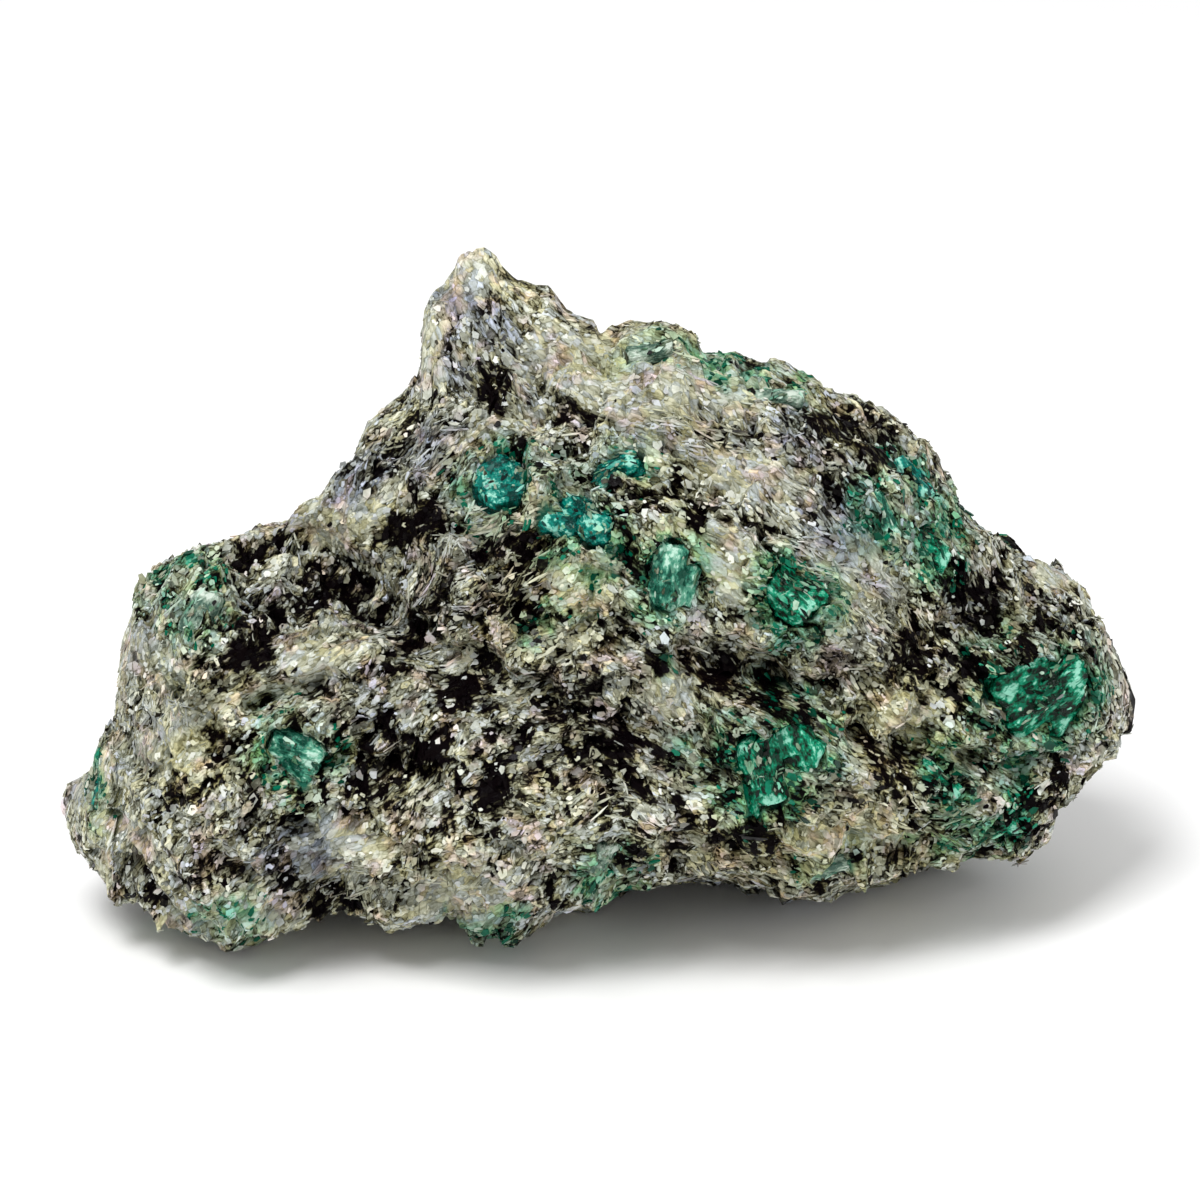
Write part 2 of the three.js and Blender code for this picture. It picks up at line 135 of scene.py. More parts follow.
# %% Relief functions
def smoothstep(value, low, high):
    """0 below low, 1 above high, and 3t^2 - 2t^3 between them."""
    share = np.clip((value - low) / (high - low), 0, 1)
    return share * share * (3 - 2 * share)


def unit(vectors):
    """Vectors of length one."""
    return vectors / np.maximum(np.linalg.norm(vectors, axis=-1, keepdims=True), 1e-12)


def bells(lumps, x, v):
    """The sum of bells: each is its height times exp(-d^2), d the distance in half widths and heights."""
    x0, v0, wide, tall, out = np.array(lumps, float).T
    away = ((x[..., None] - x0) / wide) ** 2 + ((v[..., None] - v0) / tall) ** 2
    return (out * np.exp(-away)).sum(-1)


def cleft_depth(x, v):
    """The deepest cleft at each place: its depth times exp(-d^2), d the distance to its line."""
    x0, v0, x1, v1, width, depth = np.array(FACE_CLEFTS, float).T
    run_x, run_v = x1 - x0, v1 - v0
    from_x, from_v = x[..., None] - x0, v[..., None] - v0
    share = np.clip((from_x * run_x + from_v * run_v) / (run_x**2 + run_v**2), 0, 1)
    away = np.hypot(from_x - share * run_x, from_v - share * run_v) / width
    return (depth * np.exp(-away * away)).max(-1)


def layer_relief(points):
    """Ledges rise along the layers and drop sharply; breaks are ridges, the folded waves of a bent sine."""
    relief = 0
    for pitch, height, warp in LEDGES:
        share = ((points @ LAYER_NORMAL + warp * np.sin(points @ LEDGE_WARP)) / pitch) % 1
        relief = relief + height * (np.minimum(share / LEDGE_TREAD, (1 - share) / (1 - LEDGE_TREAD)) - 0.5)
    for wave, bend, height in BREAKS:
        folded = np.abs(np.sin(points @ np.array(wave) + BREAK_BEND * np.sin(points @ np.array(bend))))
        relief = relief + height * (BREAK_LEVEL - folded)
    return relief


print("the dome's lump:", bells(FACE_LUMPS[:1], np.array([9.0]), np.array([37.0])), "mm")

# %% [markdown]
# ## Cross-sections
# A cross-section of the stone is a rounded box between the four rails. One exponent makes it oval, square or
# peaked, so the horn can be sharp and the foot blunt. Steps of an edge can be eased by averaging its rail.

# %% Cross-sections
EASE, EASE_SAMPLES = 1.6, 7  # half the stretch over which a rail is averaged, and the samples on it


def section(x, turn):
    """Up and out shares of a rounded box: cosine and sine raised to the rounding of that quarter."""
    cosine, sine = np.cos(turn), np.sin(turn)
    lower = np.where(sine < 0, BASE_ROUNDING, ROUNDING)
    rounding = np.where(cosine > 0, along(PEAKING, x), lower)
    return np.sign(cosine) * np.abs(cosine) ** rounding, np.sign(sine) * np.abs(sine) ** rounding


def section_depth(x, out):
    """How far a section reaches from its rim: to the front where out is positive, else to the back."""
    rim = along(RIM_DEPTH, x)
    return np.where(out > 0, along(FRONT, x) - rim, rim - along(BACK, x))


def eased(rail, x):
    """The height of a rail averaged over a short stretch."""
    return np.mean([along(rail, x + shift) for shift in EASE * np.linspace(-1, 1, EASE_SAMPLES)], axis=0)


print("depths in the middle:", section_depth(np.zeros(2), np.array([1, -1])), "mm to the front and back")

# %% [markdown]
# ## A point of the stone
# One function answers where the stone's surface is, for a place x along it and a turn round its
# cross-section. It works on whole arrays, so a hundred thousand places cost one call. Another leans the
# result back and turns millimetres into metres.

# %% The stone's surface
EASE_FROM, EASE_FULL = 0.05, 0.6  # of the way out from the rim
ENDS_FROM, ENDS_FULL = 0.5, 4  # millimetres from the ends of the stone


def on_stone(x, turn, soft=False):
    """Points (x, v, n) of the stone and the way outwards in their sections. turn 0 is the top edge, a quarter
    turn the front. The rounded box is pushed in and out by lumps and clefts, then along the way out by the
    layers. When soft, steps of the edges fade out over the faces instead of running across them."""
    top, bottom, rim = along(TOP_EDGE, x), along(BOTTOM_EDGE, x), along(RIM_DEPTH, x)
    up, out = section(x, turn)
    if soft:
        from_ends = smoothstep(HALF_LENGTH - np.abs(x), ENDS_FROM, ENDS_FULL)
        inner = smoothstep(np.abs(out), EASE_FROM, EASE_FULL) * from_ends
        top = top + inner * (eased(TOP_EDGE, x) - top)
        bottom = bottom + inner * (eased(BOTTOM_EDGE, x) - bottom)
    middle = (top + bottom) / 2
    depth = section_depth(x, out)
    v = middle + up * (top - bottom) / 2
    n = rim + out * depth
    points = np.stack([x, v, n], -1)
    outwards = unit(np.stack([np.zeros_like(v), v - middle, n - rim], -1))
    calm = RIM_ROUGH + (1 - RIM_ROUGH) * smoothstep(np.abs(out), RIM_FROM, RIM_FULL)
    rough = smoothstep(depth, ROUGH_FROM, ROUGH_FULL) * calm * layer_relief(points)
    relief = np.where(out > 0, bells(FACE_LUMPS, x, v) - cleft_depth(x, v), bells(BACK_LUMPS, x, v))
    points[..., 2] += np.sign(out) * smoothstep(np.abs(out), FACING_FROM, FACING_FULL) * relief
    return points + outwards * rough[..., None], outwards


def to_row(points):
    """From (x, v, n) in millimetres to the row's frame in metres: leaned back, shifted, then scaled."""
    x, v, n = np.moveaxis(np.asarray(points, float), -1, 0)
    sine, cosine = np.sin(LEAN), np.cos(LEAN)
    return (np.stack([x, v * sine - n * cosine, v * cosine + n * sine], -1) + SHIFT) / 1000


front_tip = to_row(on_stone(np.array([0.0]), np.array([np.pi / 2]))[0])
print("middle of the broad face at", front_tip.round(4))

# %% [markdown]
# ## Noise for what is too small to list
# Small unevenness comes from lattice noise: a random value at every corner of a lattice, blended across each
# cell. Blender's own textures could displace a mesh too, but noise in numpy can also choose where scales
# grow.

# %% Lattice noise and random cells
HASH_MIX = np.array([[127.1, 269.5, 113.5], [311.7, 183.3, 271.9], [74.7, 246.1, 124.6]])
HASH_SPREAD, OWN_SPREAD = 43758.5453, 43.7  # large, so that what is left after the point looks random
SEED_STEP = 17.3  # lattice cells between the noises of two seeds


def hashed(cell, seed):
    """Three random numbers from 0 to 1 for a lattice cell: what is left of a large sine after the point."""
    return (np.sin(cell @ HASH_MIX + seed) * HASH_SPREAD) % 1


def lattice_noise(points, pitch, seed):
    """Smooth noise from -1 to 1: random values at the corners of a lattice, blended by 3t^2 - 2t^3."""
    cell = points / pitch + SEED_STEP * seed
    low = np.floor(cell)
    share = cell - low
    share = share * share * (3 - 2 * share)
    total = 0
    for corner in np.ndindex(2, 2, 2):
        weight = np.prod(np.where(corner, share, 1 - share), axis=-1)
        total = total + weight * (2 * hashed(low + corner, seed)[..., 0] - 1)
    return total
def blotches(points, pitch, seed, low, high):
    """Random blotches, 0 to 1: lattice noise cut off softly between low and high."""
    return smoothstep(lattice_noise(points, pitch, seed), low, high)


def nearest_cells(points, seed):
    """Random cells: every lattice cell holds one random point, and a place belongs to the nearest of them.
    Gives the way to that point, three random numbers that the whole cell shares, and how much further the
    next point is."""
    base = np.floor(points)
    best, next_best = np.full((2, *points.shape[:-1]), np.inf)
    way, own = np.zeros_like(points), np.zeros_like(points)
    for step in np.ndindex(3, 3, 3):
        cell = base + np.array(step) - 1
        chance = hashed(cell, seed)
        offset = cell + chance - points
        distance = (offset**2).sum(-1)
        nearer = distance < best
        next_best = np.where(nearer, best, np.minimum(next_best, distance))
        best = np.where(nearer, distance, best)
        way = np.where(nearer[..., None], offset, way)
        own = np.where(nearer[..., None], chance, own)
    return way, (own * OWN_SPREAD) % 1, np.sqrt(next_best) - np.sqrt(best)


print("noise sample:", lattice_noise(np.array([[1.0, 2.0, 3.0]]), 4, 1).round(3))

# %% [markdown]
# ## How the mica lies
# Mica splits into flat scales, and the scales of one stretch of schist lie one way. On the real face they run
# steeply up to the right at the left end, and slope down to the right over the dome. A few listed directions
# are blended between; directions have no arrow, so the doubled angles are averaged. Each stretch then
# keeps one direction: the angle is rounded to steps, and the borders between steps look like the borders of
# broken books.

# %% The lie of the mica
LIES = [  # x, v, reach, direction in degrees
    (-40, 26, 10, 62), (-40, 10, 10, 55), (-24, 32, 9, 48), (-24, 14, 9, 40), (-12, 56, 7, -55),
    (-14, 42, 7, 38), (-6, 30, 8, 42), (-8, 12, 9, 35), (4, 50, 9, -12), (6, 36, 8, -40), (18, 42, 9, -32),
    (18, 30, 8, -38), (6, 22, 8, -28), (16, 14, 8, -24), (24, 8, 9, -8), (30, 34, 8, -45), (30, 22, 8, -30),
    (40, 26, 8, -48), (38, 14, 8, 24),
]
LIE_STEP = 0.3  # radians between the directions of neighbouring stretches
LIE_WANDER, LIE_PITCH = 0.5, 5.0  # radians of noise, and its pitch
FAR_WEIGHT = 1e-4  # of each listed direction in places that none of them reaches
DRAWN = np.array([0.42, 1.0, 0.8])  # patterns are longer along the mica than across it


def lie_of(points):
    """The direction of the mica in radians: nearby directions averaged by doubled angle, with noise."""
    x0, v0, reach, degrees = np.array(LIES, float).T
    away = ((points[..., :1] - x0) ** 2 + (points[..., 1:2] - v0) ** 2) / reach**2
    weight = np.exp(-away) + FAR_WEIGHT
    double = np.radians(2 * degrees)
    angle = np.arctan2((weight * np.sin(double)).sum(-1), (weight * np.cos(double)).sum(-1)) / 2
    return angle + LIE_WANDER * lattice_noise(points, LIE_PITCH, 31)


def laid_out(points):
    """Places turned so that x runs with the mica of their own stretch, and drawn together along it."""
    angle = np.floor(lie_of(points) / LIE_STEP) * LIE_STEP
    cosine, sine = np.cos(angle), np.sin(angle)
    x, v, n = np.moveaxis(points, -1, 0)
    return np.stack([x * cosine + v * sine, v * cosine - x * sine, n], -1) * DRAWN


shoulder_and_dome = np.array([[-40.0, 26, 0], [12, 38, 20]])
print("lie at the shoulder and on the dome:", np.degrees(lie_of(shoulder_and_dome)).round(0))

# %% [markdown]
# ## Where each crystal sits
# The emeralds are six-sided prisms of beryl in pockets of the schist. The same placing as in the solids is
# repeated here: a crystal is seated on the mean of the stone around it and stands proud of it. Each row also
# names one of four finishes, because on the real piece some crystals are deep, some bright, some milky and
# some a pale coat.

# %% The emeralds
EMERALDS = [  # name, back, x, v, heading, dip, proud, finish, prisms: radius, length, shift, turn
    ("eye", 0, -9.0, 41.6, 20, 78, 1.2, "deep", [(3.3, 7.5)]),
    ("tail", 0, -1.4, 38.6, -62, 8, 1.2, "deep", [(1.8, 7.0), (1.4, 4.6, (-1.2, 2.2, 0.1), 24)]),
    ("brow", 0, 1.2, 43.0, 12, 10, 0.9, "deep", [(1.5, 5.2)]),
    ("window", 0, 5.9, 33.0, 84, 6, 1.0, "milky", [(2.0, 6.4), (1.2, 4.2, (-0.6, 2.0, -0.1), -9)]),
    ("wedge", 0, 16.9, 31.6, -48, 16, 1.3, "bright", [(2.1, 5.4), (1.4, 4.0, (1.0, -1.7, 0.0), 34)]),
    ("sliver", 0, 25.2, 38.4, -66, 8, 0.9, "milky", [(1.5, 5.0)]),
    ("spark", 0, 29.7, 35.6, -40, 28, 1.4, "bright", [(2.0, 4.6)]),
    ("shade", 0, 28.2, 41.6, -50, 8, 0.8, "deep", [(1.5, 4.8)]),
    ("heart", 0, 14.2, 15.6, -74, 12, 1.4, "bright",
     [(2.4, 6.8), (1.9, 5.4, (-1.4, -3.4, -0.2), 38), (1.3, 3.8, (2.9, 1.4, -0.2), -32)]),
    ("nose", 0, 40.2, 22.4, 28, 10, 1.6, "bright",
     [(2.8, 9.4), (2.1, 7.2, (-1.9, -3.0, -0.2), -16), (1.8, 5.8, (1.4, 2.9, -0.3), 30)]),
    ("streak", 0, 30.4, 15.2, -38, 8, 0.8, "bright", [(1.2, 5.2)]),
    ("heel", 0, 35.4, 10.6, 18, 12, 1.2, "bright", [(1.7, 4.6)]),
    ("keel", 0, 20.4, 7.4, 6, 4, 0.8, "coat", [(1.2, 4.2)]),
    ("toe", 0, 0.4, 8.2, 76, 8, 1.0, "coat", [(1.7, 5.2)]),
    ("pane", 0, -26.6, 17.6, -22, 14, 1.0, "milky", [(1.9, 5.4), (1.2, 3.6, (0.8, 1.7, 0.0), -30)]),
    ("shoulder", 0, -35.4, 30.0, 62, 10, 1.0, "coat", [(1.7, 5.0)]),
    ("tip", 0, -44.6, 14.2, 64, 6, 1.0, "deep", [(1.1, 4.0)]),
    ("knob", 0, 4.5, 53.0, 6, 10, 0.8, "coat", [(1.3, 4.6)]),
    ("crest", 0, 15.6, 49.4, -18, 6, 0.8, "coat", [(1.3, 5.6)]),
    ("back_upper", 1, -6, 44, 35, 12, 0.8, "deep", [(2.2, 6.4)]),
    ("back_left", 1, -30, 27, -50, 70, 0.8, "deep", [(2.4, 6.0)]),
    ("back_middle", 1, 3, 24, 70, 10, 0.8, "bright", [(2.0, 6.6), (1.5, 4.8, (1.2, 2.4, -0.1), 28)]),
    ("back_right", 1, 27, 28, 15, 18, 0.8, "milky", [(2.1, 5.6)]),
    ("back_low", 1, 19, 14, -30, 10, 0.6, "milky", [(1.6, 4.8)]),
]
print("emeralds:", len(EMERALDS), "of", sum(len(row[-1]) for row in EMERALDS), "prisms")

# %% [markdown]
# ## Seats
# The stone is measured at five places round a crystal. Their mean is its seat, and their slopes give the
# normal. Heading and dip turn the crystal, which then moves out until it stands proud by the wanted amount.

# %% Crystal seats
SEAT = 1.8  # distance over which the stone is measured
CHAMFER = 0.22


def turn_at(x, v, back):
    """The turn at which the plain section passes height v: the section's formula solved for the turn."""
    top, bottom = along(TOP_EDGE, x), along(BOTTOM_EDGE, x)
    up = np.clip((2 * v - top - bottom) / (top - bottom), -1, 1)
    rounding = np.where(up > 0, along(PEAKING, x), BASE_ROUNDING if back else ROUNDING)
    turn = np.arccos(np.sign(up) * np.abs(up) ** (1 / rounding))
    return -turn if back else turn


def about_z(degrees):
    """The matrix that turns rows of vectors about z."""
    cosine, sine = np.cos(np.radians(degrees)), np.sin(np.radians(degrees))
    return np.array([[cosine, sine, 0], [-sine, cosine, 0], [0, 0, 1]])


def prism_corners(radius, length, shift=(0, 0, 0), turn=0):
    """The 24 corners of a chamfered prism along its own y: four rings of six, turned and then shifted."""
    chamfer = CHAMFER * radius
    ring = np.array([radius - chamfer, radius, radius, radius - chamfer])[:, None]
    high = np.array([-length / 2, chamfer - length / 2, length / 2 - chamfer, length / 2])[:, None]
    angle = np.radians(60) * np.arange(6)
    grid = np.stack(np.broadcast_arrays(ring * np.sin(angle), high, ring * np.cos(angle)), -1)
    forward, across, out = shift
    return grid.reshape(-1, 3) @ about_z(turn) + np.array([across, forward, out])


def crystal_seat(back, x, v, heading, dip, proud, prisms):
    """The middle of a crystal, its three axes (across, along, outer) as rows, the stone's normal there, the
    crystal's corners from its middle, and the stone's mean place."""
    at_x = x + SEAT * np.array([0, 1, -1, 0, 0])
    at_v = v + SEAT * np.array([0, 0, 0, 1, -1])
    around = on_stone(at_x, turn_at(at_x, at_v, back))[0]
    normal = unit(np.cross(around[1] - around[2], around[3] - around[4])) * (-1 if back else 1)
    side = unit(np.array([1.0, 0, 0]) - normal * normal[0])
    yaw, pitch = np.radians(heading), np.radians(dip)
    axis = side * np.cos(yaw) + np.cross(normal, side) * np.sin(yaw)
    axis = axis * np.cos(pitch) + normal * np.sin(pitch)
    outer = unit(normal - axis * (normal @ axis))
    axes = np.stack([np.cross(axis, outer), axis, outer])
    corners = np.concatenate([prism_corners(*prism) for prism in prisms]) @ axes
    here = around.mean(0)
    return here + normal * (proud - (corners @ normal).max()), axes, normal, corners, here


seats = {
    name: crystal_seat(*placing, proud, prisms)
    for name, *placing, proud, finish, prisms in EMERALDS
}
off = max(
    np.abs(np.array(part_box("emerald_" + name)[0]) - to_row(middle + corners).min(0)).max()
    for name, (middle, axes, normal, corners, here) in seats.items()
)
print("crystals:", len(seats), "largest difference from the solids:", round(off * 1000, 4), "mm")

# %% [markdown]
# ## An even grid
# The body of the stone is one closed surface on a grid of stations along it and turns round it. Stations
# stand closer where the rails are steep, and turns are evened out by the length of each section's outline, so
# that the cells stay about as wide as long. Plain even steps would leave long thin cells at the horn and the
# ends.

# %% Even stations and turns
STATIONS, TURNS = 320, 290
FINE_STATIONS, FINE_TURNS = 4001, 1601  # for measuring travel and outlines
STEEP_PULL = 0.3  # how much closer stations stand for each unit of steepness


def even_grid():
    """Stations spaced by the rails' own travel, and turns spaced by each outline's length."""
    fine = np.linspace(-HALF_LENGTH, HALF_LENGTH, FINE_STATIONS)
    rails = (TOP_EDGE, BOTTOM_EDGE, FRONT, BACK)
    travel = np.cumsum(1 + STEEP_PULL * sum(np.abs(np.gradient(along(rail, fine), fine)) for rail in rails))
    wanted = (np.arange(STATIONS) + 0.5) / STATIONS
    x = np.interp(wanted, (travel - travel[0]) / (travel[-1] - travel[0]), fine)[:, None]
    dense = np.linspace(0, 2 * np.pi, FINE_TURNS)
    up, out = section(x, dense)
    high = (along(TOP_EDGE, x) - along(BOTTOM_EDGE, x)) / 2
    step = np.hypot(np.diff(up * high, axis=1), np.diff(out * section_depth(x, out), axis=1))
    length = np.concatenate([np.zeros((STATIONS, 1)), np.cumsum(step, axis=1)], axis=1)
    apart = 2 * np.arange(STATIONS)[:, None]  # keeps the outlines apart in one rising table
    length = length / length[:, -1:] + apart
    wanted = np.arange(TURNS) / TURNS + apart
    turns = np.interp(wanted.ravel(), length.ravel(), np.broadcast_to(dense, length.shape).ravel())
    return np.broadcast_to(x, (STATIONS, TURNS)).copy(), turns.reshape(STATIONS, TURNS)


grid_x, grid_turn = even_grid()
print("grid:", grid_x.shape, "stations from", grid_x.min().round(2), "to", grid_x.max().round(2), "mm")

# %% [markdown]
# ## Broken plates and cracks
# The surface of the schist is a mass of broken mica plates. They are random cells, each with a height and a
# slope of its own and drawn out along the mica, in three sizes. Some borders gape as cracks, and small gaps
# open between plates.

# %% Broken plates, gaps and cracks
PLATES = [(3.4, 0.42, 0.42), (1.5, 0.24, 0.42), (0.75, 0.10, 0.35)]  # pitch, height, slope
SETTLE = -0.35  # keeps the tips of the relief at the solid's surface
SWELL, SWELL_PITCH = 0.5, 5.5
GAP_PITCH, GAP_PATCH, GAP_PATCH_SHARE = 0.75, 3.0, 0.4
GAP_FROM, GAP_FULL = 0.52, 0.70
CRACK_PITCH, CRACK_PATCH = 4.2, 6.0
CRACK_WIDTH, CRACK_EDGE = 0.11, 0.06  # in cells


def broken_plates(points):
    """Random plates of three sizes: each adds its own height, and its slope times the way to its middle."""
    laid = laid_out(points)
    relief = SETTLE + SWELL * lattice_noise(points, SWELL_PITCH, 1)
    for seed, (pitch, height, slope) in enumerate(PLATES):
        way, own, border = nearest_cells(laid / pitch, seed + 2)
        sloped = ((2 * own[..., 1:] - 1) * way[..., 1:]).sum(-1)
        relief = relief + height * (2 * own[..., 0] - 1) + slope * pitch * sloped
    return relief


def gaps_at(points):
    """Gaps between plates, 0 to 1: the peaks of noise drawn out along the mica. The schist finish darkens
    them, partly as dark mica and partly as painted shade.
    """
    patchy = GAP_PATCH_SHARE * lattice_noise(points, GAP_PATCH, 8)
    return smoothstep(lattice_noise(laid_out(points), GAP_PITCH, 7) + patchy, GAP_FROM, GAP_FULL)


def cracks_at(points):
    """Open cracks, 0 to 1: borders of larger cells along the mica, but only where noise lets them gape."""
    border = nearest_cells(laid_out(points) / CRACK_PITCH, 9)[2]
    return smoothstep(CRACK_WIDTH - border, 0, CRACK_EDGE) * blotches(points, CRACK_PATCH, 10, -0.1, 0.3)


print("plates of", [pitch for pitch, height, slope in PLATES], "mm")

# %% [markdown]
# ## Pockets
# Under each crystal a pocket is pressed into the schist, and a low collar closes round it, so that the
# crystal looks grown in and not laid on. The same distances give a halo, which later stains the schist green.

# %% Pockets
STAIN = {"deep": 0.9, "bright": 1.0, "milky": 0.8, "coat": 0.4}  # how green the schist is round a crystal
POCKET_EDGE, POCKET_WALL = 0.88, 0.7  # share of a prism's radius where its pocket ends, and the wall's width
COLLAR_WIDTH, HALO_WIDTH = 0.8, 1.5
BLUNT, SHORTEST_LINE = 0.6, 0.05  # a prism's line ends this share of its radius before its tips
SEAT_REACH = 7  # how deep under a crystal its pocket is looked for


def footprint(points, seat, radius, length, shift=(0, 0, 0), turn=0):
    """The distance of places from a prism's line, seen along its seat's normal, and whether they are near."""
    middle, axes, normal = seat[:3]
    forward, across, out = shift
    offset = points - (middle + np.array([across, forward, out]) @ axes)
    flat = offset - (offset @ normal)[..., None] * normal
    line = about_z(turn)[1] @ axes
    line = line - normal * (line @ normal)
    half = max(np.linalg.norm(line) * length / 2 - radius * BLUNT, SHORTEST_LINE)
    spot = np.clip(flat @ unit(line), -half, half)[..., None] * unit(line)
    return np.linalg.norm(flat - spot, axis=-1), np.abs(offset @ normal) < SEAT_REACH


def pocket_share(points):
    """1 inside a crystal's footprint and 0 outside, the height of the collar round it, a wider halo, and the
    seat's normal, all from the distance to the line of each prism."""
    share, collar, halo = np.zeros((3, *points.shape[:-1]))
    push = np.zeros_like(points)
    for name, *placing, finish, prisms in EMERALDS:
        for prism in prisms:
            away, near = footprint(points, seats[name], *prism)
            past = away - prism[0]
            here = smoothstep(POCKET_EDGE * prism[0] - away, 0, POCKET_WALL) * near
            rim = np.exp(-((past / COLLAR_WIDTH) ** 2)) * near
            wide = STAIN[finish] * np.exp(-((np.maximum(past, 0) / HALO_WIDTH) ** 2)) * near
            stronger = np.maximum(here, rim) > np.maximum(share, collar)
            push = np.where(stronger[..., None], seats[name][2], push)
            share, collar, halo = np.maximum(share, here), np.maximum(collar, rim), np.maximum(halo, wide)
    return share, collar * (1 - share), halo, push


print("stain round each finish:", STAIN)

# %% [markdown]
# ## The ground of the stone
# Relief, cracks and pockets are added in turn to the grid of the stone. Along the rim the relief is calmer,
# so that the outline holds, and the underside is levelled to stand on.

# %% Ground
RIM_CALM = 0.35  # share of the relief that is left along the rim
CRACK_DEPTH, GAP_SHARE = 0.7, 0.8
POCKET_DEPTH, COLLAR = 1.8, 0.4

points, outwards = on_stone(grid_x, grid_turn, soft=True)
from_rim = np.abs(section(grid_x, grid_turn)[1])
towards_ends = smoothstep(HALF_LENGTH - np.abs(grid_x), 0.2, 4)
inside = RIM_CALM + (1 - RIM_CALM) * smoothstep(from_rim, 0.05, 0.5)
crack = np.maximum(cracks_at(points), GAP_SHARE * gaps_at(points))
relief = broken_plates(points) * inside - CRACK_DEPTH * crack
points = points + outwards * (relief * towards_ends)[..., None]
pocket, collar, halo, seat_normal = pocket_share(points)
points = points + seat_normal * (COLLAR * collar - POCKET_DEPTH * pocket)[..., None]
upward = np.array([0, np.cos(LEAN), np.sin(LEAN)])
sunk = np.maximum(-(points @ upward + SHIFT[2]), 0)
ground_mm = points + sunk[..., None] * upward
print("ground:", ground_mm.shape, "pockets cover", round(float((pocket > 0.5).mean()) * 100, 1), "% of it")

# %% [markdown]
# ## From arrays to a mesh
# A closed grid needs one face for each cell, wrapped round in one direction, and a fan at each end. The
# corner numbers are worked out as arrays too, and handed to Blender in one go.

# %% Mesh helpers
def closed_grid(rows, first, last):
    """Corners and faces of a grid that wraps round along its second axis, closed by a point at each end."""
    count, around = rows.shape[:2]
    corners = np.concatenate([rows.reshape(-1, 3), [first, last]])
    here, beside = np.arange(around), (np.arange(around) + 1) % around
    row = np.arange(count - 1)[:, None] * around
    beyond = row + around
    quads = np.stack([row + here, row + beside, beyond + beside, beyond + here], -1).reshape(-1, 4)
    start = np.stack([np.full(around, count * around), beside, here], -1)
    end_row = (count - 1) * around
    end = np.stack([np.full(around, count * around + 1), end_row + here, end_row + beside], -1)
    return corners, [quads, start, end]


def add_object(name, data):
    """A new object in the scene."""
    made = bpy.data.objects.new(name, data)
    bpy.context.scene.collection.objects.link(made)
    return made


def add_piece(name, corners, faces, slot, *nodes):
    """A flat-faced mesh object from corner and face arrays, riding on the stone in place of nodes."""
    mesh = bpy.data.meshes.new(name)
    mesh.vertices.add(len(corners))
    mesh.vertices.foreach_set("co", np.asarray(corners, np.float32).ravel())
    loops = np.concatenate([face.ravel() for face in faces]).astype(np.int32)
    sizes = np.concatenate([np.full(len(face), face.shape[1]) for face in faces])
    mesh.loops.add(len(loops))
    mesh.loops.foreach_set("vertex_index", loops)
    mesh.polygons.add(len(sizes))
    mesh.polygons.foreach_set("loop_start", np.concatenate([[0], np.cumsum(sizes)[:-1]]).astype(np.int32))
    mesh.update(calc_edges=True)
    mesh.shade_flat()
    piece = add_object(name, mesh)
    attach(piece, "root")
    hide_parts(*nodes)
    print(name, "has", int((sizes - 2).sum()), "triangles")
    return piece


def add_value(piece, name, values):
    """A number or a vector for each corner of a piece, which its material reads by name."""
    values = np.asarray(values, np.float32)
    kind, field = ("FLOAT", "value") if values.ndim == 1 else ("FLOAT_VECTOR", "vector")
    piece.data.attributes.new(name, kind, "POINT").data.foreach_set(field, values.ravel())


tips = [ground_mm[0].mean(0), ground_mm[-1].mean(0)]
corners, faces = closed_grid(ground_mm, *tips)
ground = add_piece("schist_ground", np.maximum(to_row(corners), [-1, -1, 0]), faces, "schist", "matrix")
